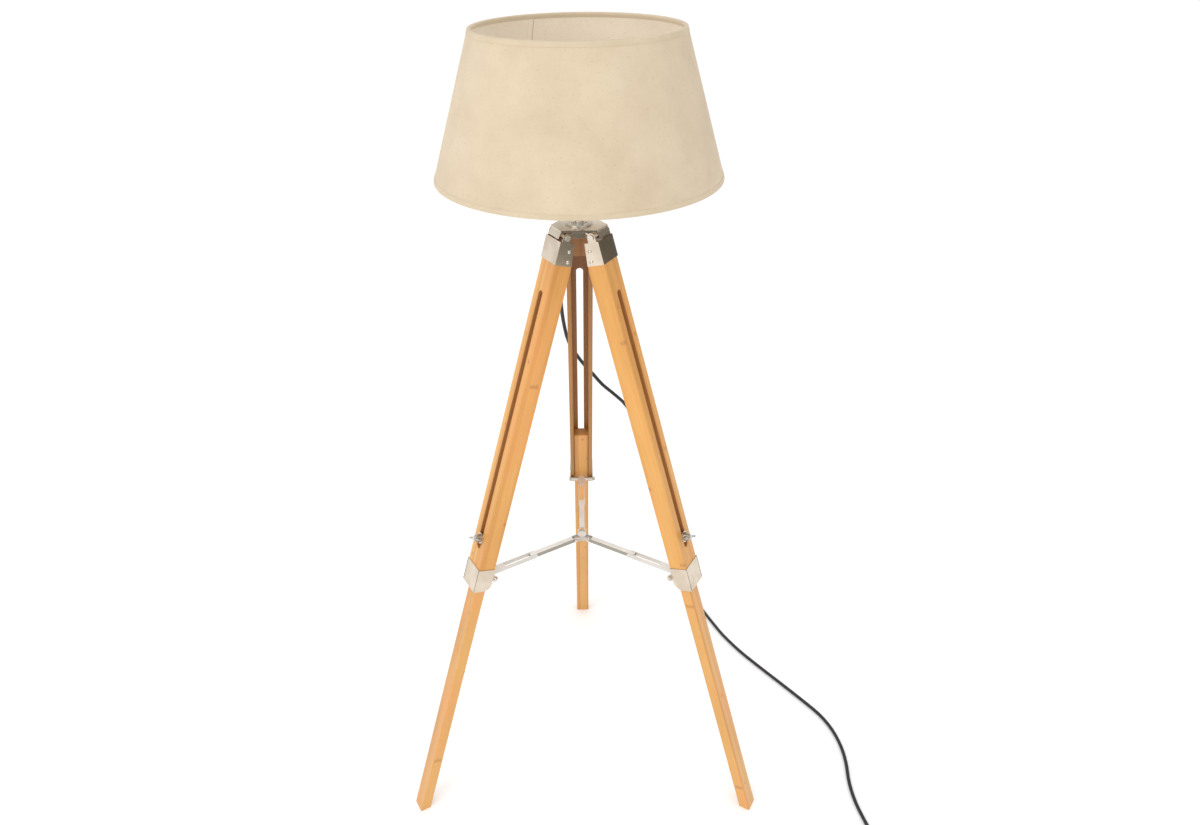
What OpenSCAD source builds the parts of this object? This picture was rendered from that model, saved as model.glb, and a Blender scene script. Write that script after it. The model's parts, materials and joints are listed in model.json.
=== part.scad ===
// Tripod floor lamp: three folding, extending legs, a spreader and a linen shade.
// Millimetres, Z up, floor at z = 0. The camera side of the lamp is -Y.

/* [Stance] */
// Lean of each open leg from the vertical, in degrees
leg_tilt = 17; // [15:0.5:19]
// Distance from the lamp's axis to each hinge pin
hinge_r = 35; // [33:0.5:37]

/* [Upper legs] */
// Width of an upper leg
leg_w = 45; // [42:1:47]
// Depth of an upper leg from its outer to its inner face
leg_d = 32; // [30:0.5:33]
// Distance from the hinge pin out to the leg's outer face
face_x = 9.5; // [9:0.5:11]
// Length of an upper leg
upper_len = 656; // [600:4:720]
// Distance from the hinge pin down to the wood
wood_drop = 10; // [10:0.5:14]
// Thickness of the slotted outer wall
web_t = 8; // [6:0.5:10]
// Width of the clamp slot
slot_w = 12; // [9:0.5:14]
// Wood left above the clamp slot
slot_top = 86; // [80:2:160]
// Wood left below the clamp slot
slot_bottom = 80; // [75:1:88]
// Wood left above the channel for the lower leg
channel_top = 42; // [40:1:70]
// How far the inner face is cut back at the upper end
relief_d = 7; // [6:0.5:10]
// Length of that cut
relief_len = 47; // [40:1:60]
// Radius on the long edges of the wood
edge_r = 1.5; // [0.5:0.1:2.5]

/* [Lower legs] */
// Width of a lower leg
lower_w = 29; // [26:0.5:31]
// Depth of a lower leg
lower_d = 20; // [18:0.5:21]
// Length of a lower leg on its outer face
lower_len = 682; // [640:2:740]
// Length of the lower leg that is inside the upper leg
overlap = 154; // [148:1:170]
// Running gap round the lower leg
slide_gap = 0.3; // [0.2:0.1:0.6]

/* [Clamps] */
// Distance from the top of the lower leg to its clamp bolt
clamp_drop = 53; // [40:1:56]
// Diameter of the clamp bolt
clamp_d = 8; // [6:0.5:8]
// Diameter of the clamp washer
washer_d = 20; // [18:0.5:28]
// Thickness of the clamp washer
washer_t = 1.6; // [1:0.1:2.5]
// Span of the wing nut
wing_span = 32; // [28:1:40]
// Height of the wing nut's boss
nut_h = 9; // [7:0.5:12]
// Angle of the wings about the bolt on the left leg, mirrored on the right one
wing_turn = 25; // [0:5:60]

/* [Leg brackets] */
// Thickness of the bracket and ferrule plate
plate_t = 1.2; // [1:0.1:1.6]
// Height of the bracket at the top of each leg
bracket_h = 38; // [34:1:44]
// Radius of the bracket's ear round the hinge pin
ear_r = 7.5; // [6:0.5:7.5]
// Diameter of the hinge pin
pin_d = 6; // [4:0.5:7]
// Diameter of the bracket screws
screw_d = 3; // [2.5:0.1:3.5]
// Diameter of the bracket screws' heads
screw_head_d = 6; // [5:0.5:7]

/* [Ferrules] */
// Height of the ferrule at the foot of each upper leg
ferrule_h = 46; // [40:1:52]
// Radius of the ferrule's inner lower corner
ferrule_r = 16; // [12:1:18]
// Height of the spreader bolt above the lower end of the wood
arm_bolt_up = 25; // [24:0.5:28]
// Distance of the spreader bolt inside the leg's inner face
arm_bolt_in = 4.6; // [4.4:0.2:6]
// Diameter of the spreader bolt
arm_bolt_d = 5; // [4:0.5:5]

/* [Spreader] */
// Width of a spreader arm
arm_w = 13; // [11:0.5:16]
// Depth of a spreader arm
arm_h = 8; // [7:0.5:9]
// Thickness of the arm's plate
arm_t = 1.2; // [0.8:0.1:1.5]
// Length of the plate that joins the fork's two sides
fork_plate = 30; // [15:1:32]
// Length over which an arm's two parts lie side by side
arm_lap = 13.5; // [12:0.5:17]
// Distance from the lamp's axis to each hub rivet
hub_r = 17; // [15:0.5:20]
// Height of the hub rivets above the spreader bolts
hub_rise = 3; // [0:0.5:5]
// Diameter of the hub's boss
hub_d = 17; // [16.5:0.5:19]
// Thickness of the hub's ears
hub_ear_t = 1.5; // [1.2:0.1:2]
// Diameter of the hub rivets
rivet_d = 4; // [3:0.5:4]

/* [Head] */
// Distance from the axis to the head's faces over the legs
head_leg_face = 43; // [41:0.5:45]
// Distance from the axis to the head's faces between the legs
head_gap_face = 36; // [35:0.5:38]
// Thickness of the head's top
head_top_t = 3.5; // [2.5:0.5:5]
// Height of the end faces of the head's lugs, with the top
lug_face_h = 13; // [12:0.5:14]
// How far those end faces slope outwards from top to bottom
lug_slope = 5; // [3:0.5:5.5]

/* [Lampholder] */
// Diameter of the flange that carries the stem
flange_d = 44; // [40:1:48]
// Diameter of the stem
stem_d = 16; // [14:0.5:20]
// Height of the stem above the head
stem_h = 50; // [30:1:70]
// Diameter of the lampholder
holder_d = 39; // [37:0.5:42]
// Height of the lampholder's lower cap
holder_cap_h = 24; // [20:1:30]
// Height of the lampholder's body
holder_h = 52; // [48:1:58]
// Bore of the screw shell for the lamp
shell_d = 26.6; // [26.4:0.1:26.8]

/* [Shade] */
// Diameter of the shade at the bottom
shade_bottom_d = 450; // [380:5:520]
// Diameter of the shade at the top
shade_top_d = 320; // [260:5:360]
// Height of the shade
shade_h = 220; // [180:5:260]
// Thickness of the shade's cover
cover_t = 1; // [0.6:0.1:1.6]
// Thickness of the shade's lining
lining_t = 0.6; // [0.4:0.1:1]
// Height of the hems
hem_h = 7; // [5:0.5:12]
// Thickness of the hems
hem_t = 0.6; // [0.4:0.1:1]
// Diameter of the frame wire
wire_d = 4; // [3:0.5:5]
// Height of the fitter ring above the shade's lower edge
fitter_rise = 26; // [16:1:36]

/* [Cord] */
// Diameter of the cord
cord_d = 7; // [6:0.5:7]
// Length of the strain relief
relief_h = 25; // [22:1:32]

/* [Hidden] */
$fn = 48;
eps = 0.01;
LEGS = ["back", "left", "right"];
AZIMUTH = [90, 210, 330];

inner_x = face_x - leg_d;
wood_end = wood_drop + upper_len;
channel_w = lower_w + 2 * slide_gap;
lower_x = face_x - web_t - slide_gap;
lower_top = wood_end - overlap;
foot_z = lower_top + lower_len;
hinge_z = foot_z * cos(leg_tilt) - lower_x * sin(leg_tilt);
clamp_z = lower_top + clamp_drop;
arm_bolt_z = wood_end - arm_bolt_up;
arm_bolt_x = inner_x - arm_bolt_in;
cheek_y = leg_w / 2 + plate_t;

fit = 0.3;
head_z = hinge_z + ear_r + 2 * fit + head_top_t;
thin_fit = 0.1;

// Where the spreader bolt and the hub stand in the lamp's own frame
arm_end_r = hinge_r + arm_bolt_x * cos(leg_tilt) + arm_bolt_z * sin(leg_tilt);
arm_end_z = hinge_z + arm_bolt_x * sin(leg_tilt) - arm_bolt_z * cos(leg_tilt);
hub_z = arm_end_z + hub_rise;
arm_len = norm([arm_end_r - hub_r, hub_rise]);
arm_lift = atan2(hub_rise, arm_end_r - hub_r);

stem_z = head_z + stem_h;
holder_z = stem_z + holder_cap_h;
fitter_z = holder_z + holder_h * 0.62;
shade_z = fitter_z - fitter_rise;
shade_slope = (shade_bottom_d - shade_top_d) / 2 / shade_h;

// The lamp's axis stands where the origin is the middle of the whole footprint
front_reach = max(shade_bottom_d / 2 + hem_t,
    (hinge_r + lower_x * cos(leg_tilt) + foot_z * sin(leg_tilt)) / 2 + lower_w / 2 * cos(30));
back_reach = hinge_r + lower_x * cos(leg_tilt) + foot_z * sin(leg_tilt);
axis_y = (front_reach - back_reach) / 2;

// ---- frames and shapes that repeat ----

// The lamp's own frame, centred on its axis
module lamp() { translate([0, axis_y, 0]) children(); }

// An upright frame with its origin on one leg's hinge pin and x outwards
module at_hinge(azimuth) {
    lamp() rotate([0, 0, azimuth]) translate([hinge_r, 0, hinge_z]) children();
}

// One leg's frame: x is out of the leg's face, y across it, z up along it from the hinge pin
module at_leg(azimuth) { at_hinge(azimuth) rotate([0, -leg_tilt, 0]) children(); }

// One spreader arm's frame: x runs inwards from the spreader bolt to the hub
module at_arm(azimuth) {
    lamp() rotate([0, 0, azimuth]) translate([arm_end_r, 0, arm_end_z])
        rotate([0, 0, 180]) rotate([0, -arm_lift, 0]) children();
}

// A plate from y0 to y1 whose outline is drawn in x and z
module slab(y0, y1) { translate([0, y1, 0]) rotate([90, 0, 0]) linear_extrude(y1 - y0) children(); }

// A round bar across the leg from y0 to y1
module cross_bar(y0, y1, d) { translate([0, y1, 0]) rotate([90, 0, 0]) cylinder(h = y1 - y0, d = d); }

// A round bar out of the leg from x0 to x1
module out_bar(x0, x1, d) { translate([x0, 0, 0]) rotate([0, 90, 0]) cylinder(h = x1 - x0, d = d); }

// A rectangle with round corners
module round_rect(x0, x1, y0, y1, r) {
    translate([x0 + r, y0]) square([x1 - x0 - 2 * r, y1 - y0]);
    translate([x0, y0 + r]) square([x1 - x0, y1 - y0 - 2 * r]);
    for (x = [x0 + r, x1 - r], y = [y0 + r, y1 - r]) translate([x, y]) circle(r, $fn = 24);
}

// A slotted hole across the leg's outer wall, with round ends at z0 and z1
module slot(x0, x1, z0, z1, w) {
    translate([x0, -w / 2, z0]) cube([x1 - x0, w, z1 - z0]);
    for (z = [z0, z1]) translate([0, 0, z]) out_bar(x0, x1, w);
}

// ---- legs ----

function inner_edge(depth) = inner_x + relief_d * max(0, 1 - (depth - wood_drop) / relief_len);

// Points of the rounded corner at the lower inner edge, from the leg's inner face to its end
function corner_arc(x, z, r) = [for (a = [180:15:270]) [x + r + r * cos(a), z + r + r * sin(a)]];

module upper_leg(azimuth) color("burlywood") at_leg(azimuth) difference() {
    intersection() {
        translate([0, 0, -wood_end]) linear_extrude(upper_len)
            round_rect(inner_x, face_x, -leg_w / 2, leg_w / 2, edge_r);
        slab(-leg_w / 2, leg_w / 2) polygon(concat(
            [[face_x, -wood_end], [face_x, -wood_drop], [inner_edge(wood_drop), -wood_drop],
             [inner_x, -wood_drop - relief_len]],
            corner_arc(inner_x, -wood_end, ferrule_r)));
    }
    translate([inner_x - 1, -channel_w / 2, -wood_end - 1])
        cube([lower_x + slide_gap - inner_x + 1, channel_w, upper_len - channel_top + 1]);
    slot(lower_x - 1, face_x + 1, -wood_end + slot_bottom + slot_w / 2, -wood_drop - slot_top - slot_w / 2, slot_w);
    bracket_screw_holes(screw_d + thin_fit);
}

module lower_leg(azimuth) color("burlywood") at_leg(azimuth) difference() {
    intersection() {
        translate([0, 0, -foot_z - lower_d]) linear_extrude(lower_len + lower_d)
            round_rect(lower_x - lower_d, lower_x, -lower_w / 2, lower_w / 2, edge_r);
        slab(-lower_w / 2, lower_w / 2) polygon([[lower_x, -foot_z], [lower_x, -lower_top],
            [lower_x - lower_d, -lower_top], [lower_x - lower_d, -foot_z + lower_d * tan(leg_tilt)]]);
    }
    translate([0, 0, -clamp_z]) out_bar(lower_x - stud_in, lower_x + 1, clamp_d + 2 * thin_fit);
}

// ---- brackets on top of the legs ----

screw_in = 13;
screw_down = 12;
screw_pitch = 17;
screw_places = [[inner_x + screw_in, -wood_drop - screw_down],
    [inner_x + screw_in - 2, -wood_drop - screw_down - screw_pitch]];
screw_len = (leg_w - channel_w) / 2 + 3;

module bracket_screw_holes(d) {
    for (place = screw_places) translate([place[0], 0, place[1]]) cross_bar(-cheek_y - 1, cheek_y + 1, d);
}

module top_bracket(azimuth) color("silver") at_leg(azimuth) difference() {
    union() {
        translate([face_x, -cheek_y, -wood_drop + 2 - bracket_h]) cube([plate_t, 2 * cheek_y, bracket_h]);
        for (side = [-1, 1]) slab(min(side * cheek_y, side * leg_w / 2), max(side * cheek_y, side * leg_w / 2)) {
            polygon([[face_x + plate_t / 2, -wood_drop + 2], [inner_edge(wood_drop), -wood_drop + 2],
                [inner_edge(wood_drop), -wood_drop],
                [inner_edge(wood_drop - 2 + bracket_h), -wood_drop + 2 - bracket_h],
                [face_x + plate_t / 2, -wood_drop + 2 - bracket_h]]);
            translate([-ear_r, -wood_drop]) square([2 * ear_r, wood_drop]);
            circle(ear_r);
        }
    }
    cross_bar(-cheek_y - 1, cheek_y + 1, pin_d + 2 * thin_fit);
    bracket_screw_holes(screw_d + 2 * thin_fit);
}

module bracket_screws(azimuth) color("silver") at_leg(azimuth)
    for (place = screw_places, side = [-1, 1]) translate([place[0], side * cheek_y, place[1]])
        rotate([-90 * side, 0, 0]) {
            translate([0, 0, -screw_len]) cylinder(h = screw_len + eps, d = screw_d, $fn = 24);
            cylinder(h = 0.7, d = screw_head_d, $fn = 24);
            translate([0, 0, 0.7]) cylinder(h = 0.7, d1 = screw_head_d, d2 = screw_head_d * 0.6, $fn = 24);
        }

module hinge_pins() color("silver") for (azimuth = AZIMUTH) at_hinge(azimuth) {
    cross_bar(-cheek_y - 2 - fit, cheek_y + 2 + fit, pin_d);
    for (side = [-1, 1]) translate([0, side * (cheek_y + 1 + fit), 0]) cross_bar(-1, 1, pin_d + 4);
}

// ---- ferrules and the bolts that carry the spreader ----

module cheek_outline() {
    difference() {
        union() {
            polygon(concat([[face_x + plate_t / 2, -wood_end], [face_x + plate_t / 2, -wood_end + ferrule_h],
                [inner_x, -wood_end + ferrule_h]], corner_arc(inner_x, -wood_end, ferrule_r)));
            translate([arm_bolt_x, -arm_bolt_z]) circle(arm_bolt_d / 2 + 3.5);
        }
        translate([arm_bolt_x, -arm_bolt_z]) circle(arm_bolt_d / 2 + thin_fit);
    }
}

module ferrule(azimuth) color("silver") at_leg(azimuth) {
    translate([face_x, -cheek_y, -wood_end]) cube([plate_t, 2 * cheek_y, ferrule_h]);
    slab(leg_w / 2, cheek_y) cheek_outline();
    slab(-cheek_y, -leg_w / 2) cheek_outline();
}

// Bolt with a domed head, a nut and the two sleeves that keep the arm in the middle
module spreader_bolt(azimuth) color("silver") at_leg(azimuth) translate([arm_bolt_x, 0, -arm_bolt_z]) {
    cross_bar(-cheek_y - 5, cheek_y + 0.5, arm_bolt_d);
    translate([0, cheek_y, 0]) rotate([-90, 0, 0]) {
        cylinder(h = 1.4, d = arm_bolt_d + 4.4);
        translate([0, 0, 1.4]) cylinder(h = 1.4, d1 = arm_bolt_d + 4.4, d2 = arm_bolt_d);
    }
    translate([0, -cheek_y, 0]) rotate([90, 0, 0]) difference() {
        cylinder(h = 4, d = arm_bolt_d + 4.2, $fn = 6);
        translate([0, 0, -1]) cylinder(h = 6, d = arm_bolt_d + thin_fit);
    }
    for (side = [-1, 1]) {
        inside = arm_w / 2 + fit;
        rotate([-90 * side, 0, 0]) translate([0, 0, inside]) difference() {
            cylinder(h = leg_w / 2 - inside, d = arm_bolt_d + 3);
            translate([0, 0, -1]) cylinder(h = leg_w, d = arm_bolt_d + thin_fit);
        }
    }
}

// ---- spreader ----

bar_w = arm_w - 2 * arm_t - 2 * fit;
fork_len = (arm_len + arm_lap + 1) / 2;
bar_len = fork_len - 1;

// One of a channel's two sides, at half the channel's width from its middle plane
module channel_side(side, half, t) {
    slab(side > 0 ? half - t : -half, side > 0 ? half : t - half) children();
}

// The arm's outer part turns on the spreader bolt, and its two sides run along the bar
module arm_fork(azimuth) color("gainsboro") at_arm(azimuth) {
    translate([-arm_h / 2, -arm_w / 2, arm_h / 2 - arm_t]) cube([arm_h / 2 + fork_plate, arm_w, arm_t]);
    for (side = [-1, 1]) channel_side(side, arm_w / 2, arm_t) difference() {
        union() {
            translate([0, -arm_h / 2]) square([fork_len - arm_h / 2, arm_h]);
            translate([-arm_h / 2, 0]) square([arm_h / 2, arm_h / 2]);
            for (x = [0, fork_len - arm_h / 2]) translate([x, 0]) circle(arm_h / 2);
        }
        circle(arm_bolt_d / 2 + thin_fit);
    }
}

// The arm's inner part is a narrower channel that turns on the hub rivet
module arm_bar(azimuth) color("gainsboro") at_arm(azimuth) translate([arm_len, 0, 0]) {
    translate([-bar_len, -bar_w / 2, arm_h / 2 - arm_t]) cube([bar_len - arm_h / 2, bar_w, arm_t]);
    for (side = [-1, 1]) channel_side(side, bar_w / 2, arm_t) difference() {
        union() {
            translate([-bar_len, -arm_h / 2]) square([bar_len, arm_h]);
            circle(arm_h / 2);
        }
        circle(rivet_d / 2 + thin_fit);
    }
}

hub_ear = bar_w / 2 + fit + hub_ear_t;

module hub() color("gainsboro") lamp() translate([0, 0, hub_z]) {
    translate([0, 0, -arm_h / 2 - 1]) cylinder(h = arm_h + 2, d = hub_d);
    for (azimuth = AZIMUTH, side = [-1, 1]) rotate([0, 0, azimuth]) channel_side(side, hub_ear, hub_ear_t)
        difference() {
            union() {
                translate([2, -arm_h / 2 + 0.5]) square([hub_r - 2, arm_h - 1]);
                translate([hub_r, 0]) circle(arm_h / 2 - 0.5);
            }
            translate([hub_r, 0]) circle(rivet_d / 2 + thin_fit / 2);
        }
}

module hub_rivets() color("silver") lamp() for (azimuth = AZIMUTH)
    rotate([0, 0, azimuth]) translate([hub_r, 0, hub_z]) {
        cross_bar(-hub_ear - eps, hub_ear + eps, rivet_d);
        for (side = [-1, 1]) rotate([-90 * side, 0, 0]) translate([0, 0, hub_ear]) {
            cylinder(h = 0.8, d = rivet_d + 2.4);
            translate([0, 0, 0.8]) cylinder(h = 0.8, d1 = rivet_d + 2.4, d2 = rivet_d - 1);
        }
    }

// ---- clamps ----

// How deep each clamp's stud is set into the lower leg
stud_in = 15;

module clamp_bolt(azimuth) color("silver") at_leg(azimuth) translate([0, 0, -clamp_z]) {
    out_bar(lower_x - stud_in, face_x + washer_t + nut_h + 4, clamp_d);
}

module clamp_washer(azimuth) color("silver") at_leg(azimuth) translate([0, 0, -clamp_z]) difference() {
    out_bar(face_x + thin_fit, face_x + thin_fit + washer_t, washer_d);
    out_bar(face_x - 1, face_x + washer_t + 1, clamp_d + 2 * thin_fit);
}

wing_t = 2.6;
wing_rise = nut_h + 6;

module wing_nut(azimuth) color("silver") at_leg(azimuth)
    translate([face_x + washer_t + 2 * thin_fit, 0, -clamp_z])
    rotate([azimuth > 270 ? -wing_turn : wing_turn, 0, 0]) difference() {
        union() {
            rotate([0, 90, 0]) cylinder(h = nut_h, d1 = clamp_d + 8, d2 = clamp_d + 5);
            for (side = [-1, 1]) slab_across(side);
        }
        out_bar(-1, wing_rise + 1, clamp_d + 2 * thin_fit);
    }

// One wing of the nut: a flat blade in the plane of x and y that widens to a round tip
module slab_across(side) {
    tip = wing_rise - 5;
    reach = side * (wing_span / 2 - 5);
    translate([0, 0, -wing_t / 2]) linear_extrude(wing_t) {
        polygon([[0.5, side * clamp_d / 2], [tip - 4, reach + side * 4], [tip + 4, reach - side * 3],
            [nut_h - 1, side * clamp_d / 2]]);
        translate([tip, reach]) circle(5);
    }
}

// ---- head ----

// A corner of the head's outline, to one side of the face over a leg
function head_corner(azimuth, side) =
    head_leg_face * [cos(azimuth), sin(azimuth)] + side * [-sin(azimuth), cos(azimuth)];

// Half the width of the head's barrels, which turn between the two ears of a leg bracket
barrel_half = leg_w / 2 - fit;
barrel_r = pin_d / 2 + 3;
// How far the lugs stand in from the edges of the top plate
lug_set_in = 0.4;
// Thickness and half the width of the walls between the legs; the third side is open for the cord
gap_wall_t = 3;
gap_wall_half = 10;
relief_az = 150;
relief_lean = 12;
relief_at = head_gap_face - 4.6;

module head() color("silver") lamp() difference() {
    lug_half = (head_gap_face - head_leg_face * cos(60)) / sin(60);
    union() {
        translate([0, 0, head_z - head_top_t]) linear_extrude(head_top_t)
            polygon([for (azimuth = AZIMUTH, side = [-1, 1]) head_corner(azimuth, side * lug_half)]);
        for (azimuth = AZIMUTH) rotate([0, 0, azimuth]) {
            translate([hinge_r, 0, hinge_z]) cross_bar(-barrel_half, barrel_half, 2 * barrel_r);
            slab(-lug_half + lug_set_in, lug_half - lug_set_in) polygon([[flange_screw_r + 5, head_z - head_top_t / 2],
                [head_leg_face - 2, head_z - head_top_t / 2], [head_leg_face - lug_set_in, head_z - head_top_t],
                [head_leg_face + lug_slope, head_z - lug_face_h], [hinge_r, head_z - lug_face_h],
                [flange_screw_r + 5, head_z - lug_face_h + 3]]);
        }
        for (azimuth = [30, 270]) rotate([0, 0, azimuth])
            translate([head_gap_face - lug_set_in - gap_wall_t, -gap_wall_half, head_z - lug_face_h])
                cube([gap_wall_t, 2 * gap_wall_half, lug_face_h - head_top_t / 2]);
    }
    for (azimuth = AZIMUTH) {
        rotate([0, 0, azimuth]) translate([hinge_r, 0, hinge_z])
            cross_bar(-leg_w / 2, leg_w / 2, pin_d + 2 * thin_fit);
        rotate([0, 0, azimuth]) translate([flange_screw_r, 0, head_z - head_top_t - 1])
            cylinder(h = head_top_t + 2, d = screw_d + thin_fit);
    }
    translate([0, 0, head_z - head_top_t - 1]) cylinder(h = head_top_t + 2, d = tube_d + 2 * thin_fit);
}

// ---- lampholder ----

tube_d = 10;
flange_t = 2.5;
flange_screw_r = flange_d / 2 - 8;

module stem() color("silver") lamp() translate([0, 0, head_z]) difference() {
    union() {
        cylinder(h = flange_t, d = flange_d);
        cylinder(h = stem_h, d = stem_d);
    }
    translate([0, 0, -1]) cylinder(h = stem_h + 2, d = tube_d + 2 * thin_fit);
    for (azimuth = AZIMUTH) rotate([0, 0, azimuth]) translate([flange_screw_r, 0, -1])
        cylinder(h = flange_t + 2, d = screw_d + 2 * thin_fit);
}

module threaded_tube() color("goldenrod") lamp() translate([0, 0, head_z - head_top_t - 5]) difference() {
    cylinder(h = head_top_t + 5 + stem_h + 10, d = tube_d);
    translate([0, 0, -1]) cylinder(h = head_top_t + stem_h + 20, d = tube_d - 2.4);
}

module tube_nut() color("goldenrod") lamp() translate([0, 0, head_z - head_top_t - 3.5]) difference() {
    cylinder(h = 3.5, d = tube_d + 6, $fn = 6);
    translate([0, 0, -1]) cylinder(h = 6, d = tube_d + thin_fit);
}

module flange_screws() color("silver") lamp() for (azimuth = AZIMUTH)
    rotate([0, 0, azimuth]) translate([flange_screw_r, 0, head_z + flange_t]) {
        translate([0, 0, -flange_t - head_top_t - 1]) cylinder(h = flange_t + head_top_t + 1 + eps, d = screw_d);
        cylinder(h = 1, d = screw_head_d + 1);
        translate([0, 0, 1]) cylinder(h = 1.2, d1 = screw_head_d + 1, d2 = screw_head_d * 0.6);
    }

module lampholder_cap() color("dimgray") lamp() translate([0, 0, stem_z]) difference() {
    rotate_extrude() polygon([[0, 0], [stem_d / 2 + 2, 0], [stem_d / 2 + 4, 2], [holder_d / 2 - 1.5, holder_cap_h - 8],
        [holder_d / 2 - 1.5, holder_cap_h], [0, holder_cap_h]]);
    translate([0, 0, 2.5]) cylinder(h = holder_cap_h, d1 = stem_d + 3, d2 = holder_d - 8);
    translate([0, 0, -1]) cylinder(h = 5, d = tube_d + 2 * thin_fit);
}

module lampholder_body() color("dimgray") lamp() translate([0, 0, holder_z]) difference() {
    union() {
        cylinder(h = 5, d = holder_d + 2);
        cylinder(h = holder_h, d = holder_d);
    }
    translate([0, 0, 8]) cylinder(h = holder_h, d = shell_d + 2);
    translate([0, 0, -1]) cylinder(h = 5, d = holder_d - 8);
    translate([0, 0, 2]) cylinder(h = 8, d = 6 + 2 * thin_fit);
}

module screw_shell() color("goldenrod") lamp() translate([0, 0, holder_z + 12]) difference() {
    cylinder(h = holder_h - 15, d = shell_d + 2 - 2 * thin_fit);
    translate([0, 0, -1]) cylinder(h = holder_h, d = shell_d);
}

module centre_contact() color("goldenrod") lamp() translate([0, 0, holder_z + 3]) {
    cylinder(h = 6, d = 6);
    translate([0, 0, 5.2]) cylinder(h = 2.2, d = 10);
}

ring_nut_d = holder_d + 15;
fitter_d = ring_nut_d + 5;

module shade_ring_nuts() color("dimgray") lamp() for (z = [fitter_z - 7, fitter_z + 1 + 2 * thin_fit])
    translate([0, 0, z - thin_fit]) difference() {
        cylinder(h = 6, d = ring_nut_d);
        translate([0, 0, -1]) cylinder(h = 8, d = holder_d + 2 * thin_fit);
    }

// ---- shade ----

glue_gap = 0.15;

function shade_r(z) = shade_bottom_d / 2 - shade_slope * z;

// A conical wall between two heights over the shade's lower edge, set in from its outside
module cone_wall(z0, z1, inset, t) {
    rotate_extrude($fn = 180) polygon([[shade_r(z0) - inset, z0], [shade_r(z1) - inset, z1],
        [shade_r(z1) - inset - t, z1], [shade_r(z0) - inset - t, z0]]);
}

module at_shade() { lamp() translate([0, 0, shade_z]) children(); }

module shade_cover() color("wheat") at_shade() cone_wall(0, shade_h, 0, cover_t);

module shade_lining() color("linen") at_shade() cone_wall(0.5, shade_h - 0.5, cover_t + glue_gap, lining_t);

module shade_top_hem() color("tan") at_shade() cone_wall(shade_h - hem_h, shade_h, -hem_t, hem_t);

module shade_bottom_hem() color("tan") at_shade() cone_wall(0, hem_h, -hem_t, hem_t);

wire_inset = cover_t + glue_gap + lining_t + wire_d / 2 * norm([1, shade_slope]) + thin_fit;

module wire_ring(z) {
    rotate_extrude($fn = 180) translate([shade_r(z) - wire_inset, z]) circle(d = wire_d, $fn = 16);
}

module shade_rings() color("silver") at_shade() for (z = [wire_d / 2, shade_h - wire_d / 2]) wire_ring(z);

// Ring on the lampholder and the three spokes that carry the lower wire ring
module shade_fitter() color("silver") at_shade() {
    translate([0, 0, fitter_rise - 1]) difference() {
        cylinder(h = 2, d = fitter_d);
        translate([0, 0, -1]) cylinder(h = 4, d = holder_d + 2 * fit);
    }
    start = [fitter_d / 2 - 0.8, fitter_rise];
    end = [shade_r(wire_d / 2) - wire_inset, wire_d / 2];
    for (azimuth = [30, 150, 270]) rotate([0, 0, azimuth]) translate([start[0], 0, start[1]])
        rotate([0, atan2(end[0] - start[0], end[1] - start[1]), 0]) cylinder(h = norm(end - start), d = wire_d - 0.5);
}

// ---- cord ----

// Route of the hanging and lying cord from the strain relief to the switch, in the lamp's own frame
cord_route = [[-31.8, 18.4, 1125.4], [-34.2, 21, 1110], [-36, 30, 1086], [-36, 46, 1050], [-35, 69, 1012], [-34, 96, 974],
    [-31, 124, 924], [-22, 153, 866], [0, 180, 812], [23, 193, 776], [44, 203, 744], [70, 213, 714],
    [95, 224, 680], [122, 241, 614], [151, 266, 520], [182, 298, 410], [213, 334, 290], [243, 370, 180],
    [264, 394, 108], [275, 404, 74], [282, 405, 46], [286, 399, 24], [290, 389, 12], [295, 376, 5.6], [301, 362, 3.8],
    [312, 336, 3.5], [326, 304, 3.5], [343, 268, 3.5], [375, 216, 3.5], [413, 166, 3.5], [452, 117, 3.5], [488, 71, 3.5],
    [520, 27, 3.5], [538, -14, 3.5], [546, -57, 3.5], [546, -97, 3.5], [541, -135, 3.5], [539.5, -164, 3.5],
    [541, -193, 3.5], [545.4, -220, 3.5], [549.2, -241.5, 5], [553.7, -258.8, 8.3], [556.8, -270.4, 9.5]];
switch_at = [563.4, -295, 9.5];
switch_turn = -75;
tail_route = [[570, -319.6, 9.5], [572.4, -330, 7.8], [574.4, -342, 5.2], [575, -354, 3.8], [575, -366, 3.5]];
lead_route = [[575, -366, 10.5], [575, -376, 10.5], [575, -388, 9.2], [575, -400, 7.4], [575, -408, 6.8]];
coil_at = [533, -366];

module at_switch() { lamp() translate(switch_at) rotate([0, 0, switch_turn]) children(); }

function unit(v) = v / norm(v);

// A closed tube of even thickness along a route that never runs straight up or down along Y's normal plane
module tube_along(route, d, sides, step) {
    dense = [for (i = [0:len(route) - 2], k = [0:step - 1]) curve_point(route, i, k / step)];
    path = concat(dense, [route[len(route) - 1]]);
    last = len(path) - 1;
    rings = [for (i = [0:last])
        let (along = unit(path[min(i + 1, last)] - path[max(i - 1, 0)]),
             across = unit(cross(along, [0.8, -0.6, 0.05])),
             up = cross(across, along))
        [for (k = [0:sides - 1]) path[i] + d / 2 * (cos(360 * k / sides) * across + sin(360 * k / sides) * up)]];
    polyhedron([for (ring = rings, point = ring) point], concat(
        [[for (k = [0:sides - 1]) k]],
        [for (i = [0:last - 1], k = [0:sides - 1]) let (next = (k + 1) % sides)
            [i * sides + k, (i + 1) * sides + k, (i + 1) * sides + next, i * sides + next]],
        [[for (k = [sides - 1:-1:0]) last * sides + k]]));
}

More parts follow.
